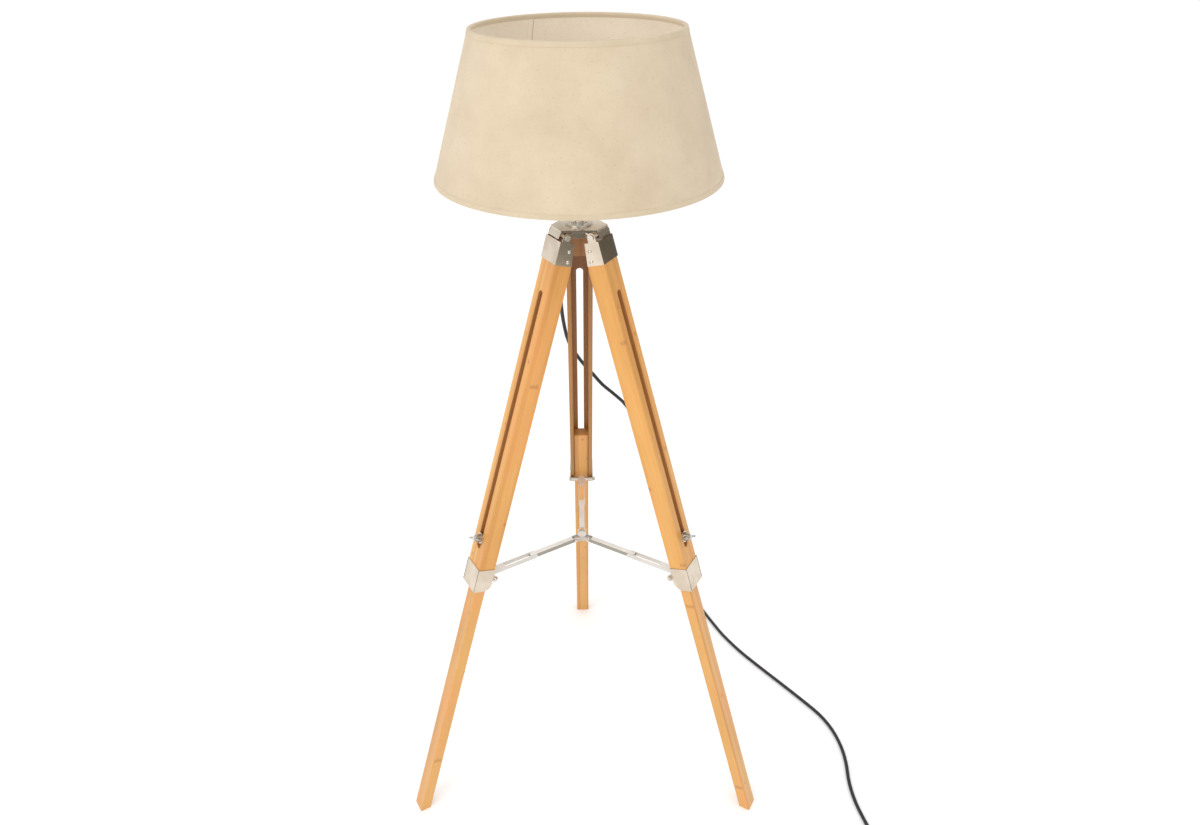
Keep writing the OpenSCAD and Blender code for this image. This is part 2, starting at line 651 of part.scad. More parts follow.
// A point on the smooth curve through the route, a share t of the way from point i to the next
function curve_point(route, i, t) =
    let (a = route[max(i - 1, 0)], b = route[i], c = route[i + 1], e = route[min(i + 2, len(route) - 1)])
    0.5 * (2 * b + t * (c - a) + t * t * (2 * a - 5 * b + 4 * c - e) + t * t * t * (3 * b - a - 3 * c + e));

module cord() color("black") lamp() tube_along(cord_route, cord_d, 10, 2);

// The short ends of the coil, one to the switch and one to the plug
module cord_tail() color("black") lamp() {
    tube_along(tail_route, cord_d, 10, 2);
    tube_along(lead_route, cord_d, 10, 2);
}

// Tapered sleeve that hangs from the head's top and leans outwards with the cord
module cord_strain_relief() color("black") lamp() rotate([0, 0, relief_az])
    translate([relief_at, 0, head_z - head_top_t]) difference() {
        rotate([0, -relief_lean, 0]) translate([0, 0, -relief_h])
            cylinder(h = relief_h + 3, d1 = cord_d + 1.4, d2 = cord_d + 2.4);
        translate([-cord_d, -cord_d, 0]) cube([2 * cord_d, 2 * cord_d, 4]);
    }

coil_in = 31.5;
module cord_coil() color("black") lamp() translate([coil_at[0], coil_at[1], 0]) rotate_extrude($fn = 96)
    translate([coil_in, 0]) square([2 * cord_d, 2 * cord_d]);

switch_h = 19;
switch_len = 51;
switch_w = 28;
switch_neck = 5.5;
rocker_w = 17;
rocker_pivot_z = 6.6;
rocker_pin_d = 1.8;

module cord_switch() color("black") at_switch() {
    difference() {
        translate([0, 0, -switch_h / 2]) linear_extrude(switch_h) {
            round_rect(-switch_len / 2 + switch_neck, switch_len / 2 - switch_neck, -switch_w / 2, switch_w / 2, 9);
            round_rect(-switch_len / 2, switch_len / 2, -switch_w / 4, switch_w / 4, 5);
        }
        translate([-rocker_w / 2 - 1, -6, 2.5]) cube([rocker_w + 2, 12, switch_h]);
    }
    translate([0, 0, rocker_pivot_z]) cross_bar(-6.5, 6.5, rocker_pin_d);
}

module switch_rocker() color("black") at_switch() difference() {
    slab(-5.6, 5.6) polygon([[-rocker_w / 2, 4.6], [rocker_w / 2, 4.6], [rocker_w / 2, 12.6], [0, 10.8],
        [-rocker_w / 2, 10.8]]);
    translate([0, 0, rocker_pivot_z]) cross_bar(-7, 7, rocker_pin_d + 2 * thin_fit);
}

// Flat two-pin plug that lies on the floor beside the coil, its pins away from it
plug_at = [575, -408, 6.8];
plug_turn = 180;
plug_neck = 11;
plug_neck_len = 10;
plug_shoulder = 24;
plug_w = 35;
plug_len = 36;
pin_gap = 19;
pin_len = 18;
plug_pin_d = 4;

module at_plug() { lamp() translate(plug_at) rotate([0, 0, plug_turn]) children(); }

module plug_body() color("black") at_plug() translate([0, 0, -plug_at[2]]) linear_extrude(2 * plug_at[2])
    polygon([[-plug_neck / 2, 0], [plug_neck / 2, 0], [plug_neck / 2 + 2, plug_neck_len],
        [plug_w / 2, plug_shoulder], [plug_w / 2, plug_len], [-plug_w / 2, plug_len],
        [-plug_w / 2, plug_shoulder], [-plug_neck / 2 - 2, plug_neck_len]]);

module plug_pins() color("silver") at_plug()
    for (side = [-1, 1]) translate([side * pin_gap / 2, plug_len, 0]) rotate([-90, 0, 0]) {
        cylinder(h = pin_len, d = plug_pin_d);
        translate([0, 0, pin_len]) cylinder(h = 1, d1 = plug_pin_d, d2 = plug_pin_d - 1.4);
    }

// ---- which node to draw ----

shade_cover();
shade_lining();
shade_top_hem();
shade_bottom_hem();
shade_rings();
shade_fitter();
shade_ring_nuts();
lampholder_body();
lampholder_cap();
screw_shell();
centre_contact();
stem();
threaded_tube();
tube_nut();
flange_screws();
head();
hinge_pins();
hub();
hub_rivets();
for (i = [0:2]) {
    upper_leg(AZIMUTH[i]);
    lower_leg(AZIMUTH[i]);
    top_bracket(AZIMUTH[i]);
    bracket_screws(AZIMUTH[i]);
    ferrule(AZIMUTH[i]);
    spreader_bolt(AZIMUTH[i]);
    arm_fork(AZIMUTH[i]);
    arm_bar(AZIMUTH[i]);
    clamp_bolt(AZIMUTH[i]);
    clamp_washer(AZIMUTH[i]);
    wing_nut(AZIMUTH[i]);
}
cord_strain_relief();
cord();
cord_switch();
switch_rocker();
cord_tail();
cord_coil();
plug_body();
plug_pins();
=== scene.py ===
"""Looks of a tripod floor lamp: bamboo legs, nickel fittings, a linen shade and a black cord."""

import json
import math

import bmesh
import bpy
from mathutils import Matrix, Vector


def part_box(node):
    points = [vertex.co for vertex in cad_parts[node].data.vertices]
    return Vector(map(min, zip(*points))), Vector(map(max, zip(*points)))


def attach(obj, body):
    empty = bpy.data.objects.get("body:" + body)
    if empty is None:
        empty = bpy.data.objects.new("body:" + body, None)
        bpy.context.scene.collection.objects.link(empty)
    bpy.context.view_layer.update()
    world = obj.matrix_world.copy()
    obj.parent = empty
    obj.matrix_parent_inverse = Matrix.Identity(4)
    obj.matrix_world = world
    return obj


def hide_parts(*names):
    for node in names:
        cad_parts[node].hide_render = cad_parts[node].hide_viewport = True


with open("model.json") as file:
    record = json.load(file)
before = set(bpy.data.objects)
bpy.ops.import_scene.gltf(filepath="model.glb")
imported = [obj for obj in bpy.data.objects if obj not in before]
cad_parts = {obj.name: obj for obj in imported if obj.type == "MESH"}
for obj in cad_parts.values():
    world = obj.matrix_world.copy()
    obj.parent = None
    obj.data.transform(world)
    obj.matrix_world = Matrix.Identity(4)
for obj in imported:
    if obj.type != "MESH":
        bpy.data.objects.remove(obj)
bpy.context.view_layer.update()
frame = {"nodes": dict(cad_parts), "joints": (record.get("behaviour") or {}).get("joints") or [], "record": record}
nodes = frame["nodes"]
scene = bpy.context.scene

MM = 0.001
HERE = Matrix.Identity(4)
LEGS = {"back": 90, "left": 210, "right": 330}
BODY_OF = {part: body for body, parts in frame["record"]["behaviour"]["bodies"].items() for part in parts}

# ---- places taken from the frame ----

STEM_LOW, STEM_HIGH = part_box("stem")
AXIS = Vector((0, (STEM_LOW[1] + STEM_HIGH[1]) / 2, 0))  # the lamp's axis stands at this y
LEG_TILT = math.radians(17)


def turn_by(degrees, axis):
    return Matrix.Rotation(math.radians(degrees), 4, axis)


def shift_by(x, y, z):
    """A move in millimetres."""
    return Matrix.Translation(Vector((x, y, z)) * MM)


def leg_frame(leg):
    """From one leg's own frame to the lamp's: x out of its face, y across it, z up along it."""
    hinge = next(joint for joint in frame["joints"] if joint["name"] == "fold_" + leg)
    lean = Matrix.Rotation(-LEG_TILT, 4, "Y")
    return Matrix.Translation(hinge["pos_m"]) @ turn_by(LEGS[leg], "Z") @ lean


def lamp_point(x, y, z):
    """A point in millimetres about the lamp's axis, in metres."""
    return Vector((x, y, z)) * MM + AXIS


def at_lamp(x, y, z):
    return Matrix.Translation(lamp_point(x, y, z))


def add_piece(name, data):
    piece = bpy.data.objects.new(name, data)
    scene.collection.objects.link(piece)
    return piece


# ---- camera ----

CAMERA_PLACE = (9.67, -1393.41, 1628.45)
CAMERA_YAW, CAMERA_PITCH, CAMERA_ROLL = -0.0230, 0.4794, -0.0169
LAMP_TURN = 0.0074  # the lamp stands turned by this much before the camera
SENSOR, LENS, LENS_SHIFT = 36, 27.193, (0.02706, -0.04304)


def make_camera():
    back_turn = Matrix.Rotation(-LAMP_TURN, 3, "Z")
    forward = Vector((math.sin(CAMERA_YAW) * math.cos(CAMERA_PITCH),
                      math.cos(CAMERA_YAW) * math.cos(CAMERA_PITCH), -math.sin(CAMERA_PITCH)))
    across = forward.cross(Vector((0, 0, 1))).normalized()
    upward = across.cross(forward)
    right = across * math.cos(CAMERA_ROLL) + upward * math.sin(CAMERA_ROLL)
    up = upward * math.cos(CAMERA_ROLL) - across * math.sin(CAMERA_ROLL)
    axes = [back_turn @ v for v in (right, up, -forward)]
    place = back_turn @ Vector(CAMERA_PLACE) * MM + AXIS
    data = bpy.data.cameras.new("camera")
    data.sensor_width, data.lens = SENSOR, LENS
    data.shift_x, data.shift_y = LENS_SHIFT
    scene.camera = add_piece("camera", data)
    rows = [[axis[i] for axis in axes] + [place[i]] for i in range(3)]
    scene.camera.matrix_world = Matrix(rows + [[0, 0, 0, 1]])


make_camera()

# ---- cord: one line from the strain relief through the switch and the coil to the plug ----

CORD_D, CORE_D = 7.0, 4.8  # across the sheath, and across the wires inside it
CORD_ROUTE = [
    (-31.8, 18.4, 1125.4), (-34.2, 21, 1110), (-36, 30, 1086), (-36, 46, 1050), (-35, 69, 1012),
    (-34, 96, 974), (-31, 124, 924), (-22, 153, 866), (0, 180, 812), (23, 193, 776), (44, 203, 744),
    (70, 213, 714), (95, 224, 680), (122, 241, 614), (151, 266, 520), (182, 298, 410), (213, 334, 290),
    (243, 370, 180), (264, 394, 108), (275, 404, 74), (282, 405, 46), (286, 399, 24), (290, 389, 12),
    (295, 376, 5.6), (301, 362, 3.8), (312, 336, 3.5), (326, 304, 3.5), (343, 268, 3.5), (375, 216, 3.5),
    (413, 166, 3.5), (452, 117, 3.5), (488, 71, 3.5), (520, 27, 3.5), (538, -14, 3.5), (546, -57, 3.5),
    (546, -97, 3.5), (541, -135, 3.5), (539.5, -164, 3.5), (541, -193, 3.5), (545.4, -220, 3.5),
    (549.2, -241.5, 5), (553.7, -258.8, 8.3), (556.8, -270.4, 9.5)]
TAIL_ROUTE = [(570, -319.6, 9.5), (572.4, -330, 7.8), (574.4, -342, 5.2), (575, -354, 3.8), (575, -366, 3.5)]
LEAD_ROUTE = [(575, -366, 10.5), (575, -376, 10.5), (575, -388, 9.2), (575, -400, 7.4), (575, -408, 6.8)]
SWITCH_SHARES = (0.16, 0.2, 0.8, 0.84)  # where the cord is held, and stripped, on its way through the switch
COIL_AT = (533, -366)
COIL_OUT, COIL_IN, COIL_LOW, COIL_HIGH = 42.0, 35.0, 3.5, 10.5  # the turns' two radii and two heights
# Degrees clockwise from the coil's start, with the radius and the height there
COIL_PATH = [
    (0, COIL_OUT, COIL_LOW), (250, COIL_OUT, COIL_LOW), (360, COIL_IN, COIL_LOW), (500, COIL_IN, COIL_LOW),
    (600, COIL_IN, COIL_HIGH), (750, COIL_IN, COIL_HIGH), (860, COIL_OUT, COIL_HIGH),
    (1080, COIL_OUT, COIL_HIGH)]


def smooth_route(route, steps=3):
    """Points on the smooth curve through a route."""
    line = []
    for i in range(len(route) - 1):
        a, b, c, e = (Vector(route[min(max(i + k, 0), len(route) - 1)]) for k in (-1, 0, 1, 2))
        for k in range(steps):
            t = k / steps
            line.append(0.5 * (2 * b + t * (c - a) + t * t * (2 * a - 5 * b + 4 * c - e)
                               + t ** 3 * (3 * b - a - 3 * c + e)))
    return line + [Vector(route[-1])]


def coil_line(step=9):
    line = []
    for (a0, r0, z0), (a1, r1, z1) in zip(COIL_PATH, COIL_PATH[1:]):
        count = max(1, round((a1 - a0) / step))
        for k in range(count):
            t = k / count
            ease = t * t * (3 - 2 * t)
            angle, r, z = math.radians(a0 + (a1 - a0) * t), r0 + (r1 - r0) * ease, z0 + (z1 - z0) * ease
            line.append(Vector((COIL_AT[0] + r * math.cos(angle), COIL_AT[1] - r * math.sin(angle), z)))
    return line


def make_cord():
    """A round cord. Its points carry the radius, so that the curve's box is the cord's own."""
    to_switch = smooth_route(CORD_ROUTE)
    in_switch = [Vector(CORD_ROUTE[-1]).lerp(Vector(TAIL_ROUTE[0]), share) for share in SWITCH_SHARES]
    line = to_switch + in_switch + smooth_route(TAIL_ROUTE)[:-1] + coil_line() + smooth_route(LEAD_ROUTE)
    stripped = (len(to_switch) + 1, len(to_switch) + 2)
    curve = bpy.data.curves.new("cord_flex", "CURVE")
    curve.dimensions = "3D"
    curve.bevel_depth = 1.0
    curve.bevel_resolution = 4
    curve.use_fill_caps = True
    spline = curve.splines.new("POLY")
    spline.points.add(len(line) - 1)
    for i, (target, point) in enumerate(zip(spline.points, line)):
        target.co = (*lamp_point(*point), 1)
        target.radius = (CORE_D if i in stripped else CORD_D) / 2 * MM
    return add_piece("cord_flex", curve)


cord = make_cord()
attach(cord, "root")
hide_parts("cord", "cord_tail", "cord_coil")

# ---- shader nodes ----

SOCKET_OF = {float: "NodeSocketFloat", int: "NodeSocketInt", tuple: "NodeSocketVector"}
NOWHERE = (0.0, 0.0, 0.0)


def sum_of(operation):
    return lambda value, other=0.0: value.calc(operation, other)


class Value:
    """A node's output, written like a number: each sum adds the node that works it out."""

    def __init__(self, socket):
        self.socket, self.tree = socket, socket.id_data

    __add__, __sub__, __mul__ = sum_of("ADD"), sum_of("SUBTRACT"), sum_of("MULTIPLY")
    __truediv__, __gt__, __abs__ = sum_of("DIVIDE"), sum_of("GREATER_THAN"), sum_of("ABSOLUTE")

    def calc(self, operation, other=0.0, clamp=False):
        return add_node(self.tree, "ShaderNodeMath", {0: self, 1: other, 2: 0.0}, operation=operation,
                        use_clamp=clamp)

    def remap(self, low, high, to_low=0.0, to_high=1.0):
        """From low..high to to_low..to_high with soft ends, and never past them."""
        return add_node(self.tree, "ShaderNodeMapRange", {0: self, 1: low, 2: high, 3: to_low, 4: to_high},
                        interpolation_type="SMOOTHSTEP")

    def blend(self, first, second):
        """From the first colour to the second, as this goes from 0 to 1."""
        return add_node(self.tree, "ShaderNodeMix", {0: self, 6: first, 7: second}, 2, data_type="RGBA")

    def split(self):
        return add_node(self.tree, "ShaderNodeSeparateXYZ", {0: self}, (0, 1, 2))

    def length(self):
        return add_node(self.tree, "ShaderNodeVectorMath", {0: self}, "Value", operation="LENGTH")

    def noise(self, scale=1.0, detail=2.0, roughness=0.5, stretch=None):
        place = self
        if stretch is not None:
            place = add_node(self.tree, "ShaderNodeVectorMath", {0: self, 1: stretch}, operation="MULTIPLY")
        return add_node(self.tree, "ShaderNodeTexNoise", {
            "Vector": place, "Scale": scale, "Detail": detail, "Roughness": roughness}, "Fac")


def put(value, target):
    """Sets one input to a value, or links it to one node or to several."""
    for one in value if isinstance(value, list) else [value]:
        if isinstance(one, Value):
            target.id_data.links.new(one.socket, target)
        else:
            target.default_value = one


def add_node(tree, kind, inputs=None, output=0, **settings):
    """Adds a node with its inputs and settings, and returns one output, or a tuple of them."""
    made = tree.nodes.new(kind)
    for key, value in settings.items():
        setattr(made, key, value)
    for key, value in (inputs or {}).items():
        put(value, made.inputs[key])
    if isinstance(output, tuple):
        return tuple(Value(made.outputs[one]) for one in output)
    return Value(made.outputs[output])


def feed(made, values):
    """Sets a node's inputs by name, an underscore for each space."""
    for key, value in values.items():
        put(value, made.inputs[key.replace("_", " ")])


def vector_of(tree, x=0.0, y=0.0, z=0.0):
    return add_node(tree, "ShaderNodeCombineXYZ", {0: x, 1: y, 2: z})


def random_of(a, b, c):
    """A steady random number for three whole numbers."""
    return add_node(a.tree, "ShaderNodeTexWhiteNoise", {0: vector_of(a.tree, a, b, c)}, noise_dimensions="3D")


def open_group(tree, **sockets):
    """Gives a tree its INPUT and OUTPUT sockets, by first value or kind, and returns its two end nodes."""
    for way, values in sockets.items():
        for label, value in values.items():
            kind = SOCKET_OF.get(type(value), value)
            made = tree.interface.new_socket(label, in_out=way, socket_type=kind)
            if kind != value:
                made.default_value = value
    return tree.nodes.new("NodeGroupInput"), tree.nodes.new("NodeGroupOutput")


def given_by(start):
    return {socket.name: Value(socket) for socket in start.outputs if socket.name}


def shader_group(name, inputs, outputs, build):
    """A node group with float outputs, which build returns by name."""
    tree = bpy.data.node_groups.new(name, "ShaderNodeTree")
    start, end = open_group(tree, INPUT=inputs, OUTPUT=dict.fromkeys(outputs, 0.0))
    feed(end, build(given_by(start)))
    return tree


def build_bamboo(given):
    """Glued strips with their own tones, fine fibres and knots, which differ from strip to strip."""
    place, seed, spacing = given["Leg Place"], given["Seed"], given["Knot Spacing"]
    x, y, z = place.split()
    row = (x / given["Strip Depth"]).calc("FLOOR")
    strip = y / given["Strip Width"]
    column = strip.calc("FLOOR")
    tone = random_of(row, column, seed)
    run = z / spacing + random_of(column, row + 7.3, seed)
    ragged = place.noise(stretch=(900.0, 900.0, 60.0))
    from_knot = abs(run.calc("FRACT") - 0.5) * spacing + (ragged - 0.5) * 0.006
    there = random_of(run.calc("FLOOR"), column, row + seed).remap(0.55, 0.75)
    fibres = place.noise(1.0, 3.0, 0.6, (1400.0, 1400.0, 22.0))
    pores = place.noise(1.0, 2.0, 0.55, (4200.0, 4200.0, 90.0))
    cloud = place.noise(stretch=(30.0, 30.0, 5.0))
    joint = abs(strip.calc("FRACT") - 0.5).remap(0.47, 0.5)
    knot = from_knot.remap(0.0055, 0.0012) * there
    return {"Tone": tone * 0.3 + fibres * 0.36 + cloud * 0.34, "Knot": knot, "Joint": joint,
            "Height": pores * 0.5 - joint * 0.4}


bamboo_strips = shader_group(
    "bamboo strips", {"Leg Place": NOWHERE, "Strip Depth": 0.016, "Strip Width": 0.0056,
                      "Knot Spacing": 0.215, "Seed": 0.0}, ["Tone", "Knot", "Joint", "Height"], build_bamboo)


def build_weave(given):
    """Plain weave with slubs: threads cross over and under, and some run thick."""
    place = given["Cloth Place"]
    x, y, _ = place.split()
    waves = [(along / given["Thread Pitch"] * math.pi).calc("SINE") for along in (x, y)]
    thick = [place.noise(1.0, 2.0, 0.6, stretch).remap(0.52, 0.78)
             for stretch in ((26.0, 1900.0, 1.0), (1900.0, 26.0, 1.0))]
    first, second = (abs(wave) * (other * 0.6 + 0.7) for wave, other in zip(waves, thick[::-1]))
    weave = add_node(place.tree, "ShaderNodeMix", {0: waves[0] * waves[1] > 0.0, 2: first, 3: second},
                     data_type="FLOAT")
    flecks = place.noise(260.0, 2.0, 0.6).remap(0.6, 0.72)
    from_edge = (given["Half Sector"] - abs(x.calc("ARCTAN2", y))) * place.length()
    cloud = place.noise(11.0, 4.0, 0.65)
    return {"Height": weave, "Slubs": (thick[0] + thick[1]) * 0.4 + flecks, "Cloud": cloud,
            "Seam": from_edge.remap(0.0014, 0.0005) * given["Seam Line"]}


linen_weave = shader_group(
    "linen weave", {"Cloth Place": NOWHERE, "Thread Pitch": 0.0006, "Half Sector": 0.897, "Seam Line": 0.0},
    ["Height", "Slubs", "Cloud", "Seam"], build_weave)


def build_handling(given):
    """Faint scratches and smears of a plated or moulded surface."""
    place, scale = given["Place"], given["Scale"]
    fine = place.noise(scale, 3.0, 0.6, given["Stretch"])
    smear = place.noise(scale * 0.04)
    rough = ((fine + smear) * 0.5 - 0.5) * given["Spread"] + given["Roughness"]
    return {"Roughness": rough, "Height": fine, "Smear": smear}


handling = shader_group(
    "handling marks",
    {"Place": NOWHERE, "Stretch": (1, 1, 1), "Scale": 700.0, "Roughness": 0.2, "Spread": 0.1},
    ["Roughness", "Height", "Smear"], build_handling)


def new_material(name, **values):
    """A material with one Principled shader; returns it, its shader and the object place."""
    made = bpy.data.materials.new(name)
    made.use_nodes = True
    tree = made.node_tree
    tree.nodes.clear()
    shader = tree.nodes.new("ShaderNodeBsdfPrincipled")
    end = tree.nodes.new("ShaderNodeOutputMaterial")
    tree.links.new(shader.outputs[0], end.inputs[0])
    feed(shader, values)
    return made, shader, add_node(tree, "ShaderNodeTexCoord", output="Object")


def bump(shader, height, strength, distance):
    feed(shader, {"Normal": add_node(shader.id_data, "ShaderNodeBump", {
        "Height": height, "Strength": strength, "Distance": distance})})


def linear(r, g, b):
    """A colour given as 0..255 display values, as the shader wants it."""
    return (*[((v / 255 + 0.055) / 1.055) ** 2.4 if v > 10 else v / 255 / 12.92 for v in (r, g, b)], 1.0)


def group_in(shader, group, **values):
    """A group's outputs by name, beside a material's shader."""
    made = shader.id_data.nodes.new("ShaderNodeGroup")
    made.node_tree = group
    feed(made, values)
    return given_by(made)


def marked_share(shader):
    """How far each face takes its painted shade, as marked in the shaded attribute."""
    return add_node(shader.id_data, "ShaderNodeAttribute", output="Fac", attribute_name="shaded")


# Lacquer coat weight, and a thinner coat on the faces with painted shade so that the shade stays dark
COAT, PAINTED_SHADE_COAT = 0.35, 0.05
# In metres in the leg's own frame: how far the painted shade behind the slot reaches from the middle, in full and
# fading, where the face starts that carries it, and where the ferrule hides it
SLOT_SHADE_FULL, SLOT_SHADE_END, SLOT_SHADE_FACE, SLOT_SHADE_LOW = 0.0044, 0.0056, 0.0006, -0.62


def bamboo(name, leg, seed, pale, deep, strip_width, slot_shade=0.0, blush=0.4, painted_shade=(176, 120, 64)):
    """Lacquered bamboo whose strips run along one leg. It takes how dark the painted shade is where its face shows
    through the slot, how orange its warmer patches are, and the colour of painted shade on faces marked as shaded."""
    made, shader, place = new_material(name, Coat_Roughness=0.22, Coat_IOR=1.5)
    into = leg_frame(leg).inverted()
    place = add_node(place.tree, "ShaderNodeMapping", {
        "Vector": place, "Rotation": into.to_euler("XYZ"), "Location": into.translation})
    wood = group_in(shader, bamboo_strips, Leg_Place=place, Strip_Width=strip_width, Seed=seed)
    colour = wood["Tone"].remap(0.25, 0.75).blend(linear(*deep), linear(*pale))
    patches = place.noise(stretch=(26.0, 26.0, 6.0)).remap(0.45, 0.68, 0.0, blush)
    marked = marked_share(shader)
    # Random patches, knots and strip joints, then painted shade on the faces marked as shaded
    for share, tone in ((patches, (227, 152, 80)), (wood["Knot"] * 0.5, (166, 104, 46)),
                        (wood["Joint"] * 0.25, (140, 88, 40)), (marked, painted_shade)):
        colour = share.blend(colour, linear(*tone))
    # Painted shade on the lower leg's face inside the channel, where it shows through the slot
    if slot_shade:
        x, y, z = place.split()
        near_middle = abs(y).remap(SLOT_SHADE_END, SLOT_SHADE_FULL, 0.0, slot_shade)
        behind_slot = (x > SLOT_SHADE_FACE) * (z > SLOT_SHADE_LOW) * near_middle
        colour = behind_slot.blend(colour, linear(112, 68, 32))
    feed(shader, {"Base Color": colour, "Coat Weight": marked.remap(0.0, 1.0, COAT, PAINTED_SHADE_COAT),
                  "Roughness": wood["Tone"].remap(0.2, 0.8, 0.5, 0.38)})
    bump(shader, wood["Height"], 0.25, 0.00012)
    return made


def metal(name, colour, roughness, dull=None, spread=0.1, stretch=(1, 1, 1), scale=700.0, strength=0.06,
          depth=0.00003, shaded=None, metallic=1.0):
    """A plated, cast or moulded surface; shaded is the colour of painted shade on the faces marked as shaded."""
    made, shader, place = new_material(name, Metallic=metallic)
    marks = group_in(shader, handling, Place=place, Stretch=stretch, Scale=scale, Roughness=roughness,
                     Spread=spread)
    share = marks["Smear"].remap(0.35, 0.7) if metallic else marks["Smear"]
    tone = share.blend(linear(*colour), linear(*(dull or colour)))
    if shaded:
        tone = marked_share(shader).blend(tone, linear(*shaded))
    feed(shader, {"Base Color": tone, "Roughness": marks["Roughness"]})
    bump(shader, marks["Height"], strength, depth)
    return made


def plastic(name, colour, roughness, pale, scale=900.0, strength=0.25):
    return metal(name, colour, roughness, pale, 0.12, scale=scale, strength=strength, depth=0.00006,
                 metallic=0.0)


def linen(name, pale, deep, pitch=0.0006, strength=0.55, seam_line=0.0):
    made, shader, _ = new_material(name, Roughness=0.86, Sheen_Weight=0.12, Sheen_Roughness=0.5)
    cloth = add_node(shader.id_data, "ShaderNodeUVMap", uv_map="cloth")
    weave = group_in(shader, linen_weave, Cloth_Place=cloth, Thread_Pitch=pitch, Seam_Line=seam_line)
    tone = weave["Height"] * 0.35 + weave["Cloud"] * 0.95
    colour = tone.remap(0.2, 0.95).blend(linear(*deep), linear(*pale))
    colour = weave["Slubs"].calc("MULTIPLY", 0.32, clamp=True).blend(colour, linear(176, 152, 118))
    feed(shader, {"Base Color": weave["Seam"].blend(colour, linear(132, 112, 88))})
    bump(shader, weave["Height"], strength, 0.0002)
    return made

# ---- making pieces ----


def mesh_of(name, points, faces):
    mesh = bpy.data.meshes.new(name)
    mesh.from_pydata([tuple(p) for p in points], [], faces)
    return mesh


def edit_mesh(mesh, change):
    """Changes a mesh through a function that is given it open."""
    work = bmesh.new()
    work.from_mesh(mesh)
    change(work)
    work.to_mesh(mesh)
    work.free()


def face_outwards(work):
    bmesh.ops.recalc_face_normals(work, faces=work.faces)


def smooth(mesh, below):
    """Smooth shading with sharp edges kept where faces meet at more than an angle in degrees."""
    mesh.shade_smooth()
    if below:
        mesh.set_sharp_from_angle(angle=math.radians(below))
    return mesh


def modify(piece, kind, **settings):
    made = piece.modifiers.new(kind.lower(), kind)
    for key, value in settings.items():
        setattr(made, key, value)
    return made


def settle(piece, smooth_below=None):
    """Turns a piece's modifiers into plain mesh."""
    graph = bpy.context.evaluated_depsgraph_get()
    mesh = bpy.data.meshes.new_from_object(piece.evaluated_get(graph))
    piece.modifiers.clear()
    piece.data = mesh
    mesh.name = piece.name
    if smooth_below:
        smooth(mesh, smooth_below)
    return piece


def carve(piece, tool, smooth_below=None):
    """Cuts a tool's shape out of a piece; the tool goes."""
    modify(piece, "BOOLEAN", object=tool, solver="EXACT")
    settle(piece, smooth_below)
    bpy.data.objects.remove(tool)


def fitted(piece, material, node=None):
    """Gives a piece its finish, and the body and the place of the part that it stands for."""
    piece.data.materials.clear()
    piece.data.materials.append(material)
    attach(piece, BODY_OF.get(node, "root"))
    if node:
        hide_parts(node)
    return piece


def clean_copy(node):
    """A part's faces as one connected mesh, its flat faces whole."""
    source = nodes[node].data
    faces = [list(face.vertices) for face in source.polygons]
    mesh = mesh_of(node + "_finish", [v.co for v in source.vertices], faces)

    def clean(work):
        bmesh.ops.remove_doubles(work, verts=work.verts, dist=2e-6)
        bmesh.ops.dissolve_limit(work, angle_limit=math.radians(0.6), verts=work.verts, edges=work.edges)

    edit_mesh(mesh, clean)
    return smooth(mesh, None)


def block(place, low, high):
    """A box from one corner to the other, in millimetres in a frame of its own."""
    points = [place @ (Vector((x, y, z)) * MM) for x in (low[0], high[0]) for y in (low[1], high[1])
              for z in (low[2], high[2])]
    return mesh_of("block", points, [[0, 1, 3, 2], [4, 6, 7, 5], [0, 4, 5, 1], [2, 3, 7, 6], [0, 2, 6, 4],
                                     [1, 5, 7, 3]])


def rounded(node, width, segments, cuts=()):
    """A part with the small round edges that finishing leaves, after its grooves are cut."""
    piece = add_piece(node + "_finish", clean_copy(node))
    for mesh in cuts:
        carve(piece, add_piece("cut", mesh))
    modify(piece, "BEVEL", width=width * MM, segments=segments, limit_method="ANGLE",
           angle_limit=math.radians(30), harden_normals=True)
    return settle(piece)


def finish(node, material, width=0.4, segments=2, cuts=(), share_of=None):
    """A part with round edges in its finish; share_of says how far each face takes its painted shade tone."""
    piece = rounded(node, width, segments, cuts)
    if share_of:
        layer = piece.data.attributes.new("shaded", "FLOAT", "FACE")
        for face, mark in zip(piece.data.polygons, layer.data):
            mark.value = share_of(face)
    return fitted(piece, material, node)


def ring(r, z, steps, start=0.0):
    """Points round z at one height, all in millimetres."""
    angles = [start + 2 * math.pi * k / steps for k in range(steps)]
    return [(r * math.cos(angle), r * math.sin(angle), z) for angle in angles]


def ring_faces(rings, count, closed=True, inwards=False):
    """Faces between rings of so many points; closed joins the last ring to the first."""
    faces = []
    for i in range(rings if closed else rings - 1):
        for k in range(count):
            a, b, j = i * count, (i + 1) % rings * count, (k + 1) % count
            face = [a + k, a + j, b + j, b + k]
            faces.append(face[::-1] if inwards else face)
    return faces


def turned(profile, steps=48):
    """A closed turned solid about z, in millimetres: the profile runs from the axis round to the axis."""
    points, faces, rings = [], [], []
    for r, z in profile:
        count = steps if r > 1e-6 else 1
        rings.append([len(points) + k for k in range(count)])
        points += ring(r, z, count)
    for low, high in zip(rings, rings[1:]):
        for k in range(steps):
            corners = [row[j % len(row)] for row, j in ((low, k), (low, k + 1), (high, k + 1), (high, k))]
            faces.append(list(dict.fromkeys(corners)))
    return points, faces


def turned_ring(profile, steps):
    """A turned ring about z, in millimetres, from a closed outline with the material on its left."""
    points = [point for r, z in profile for point in ring(r, z, steps)]
    return points, ring_faces(len(profile), steps)


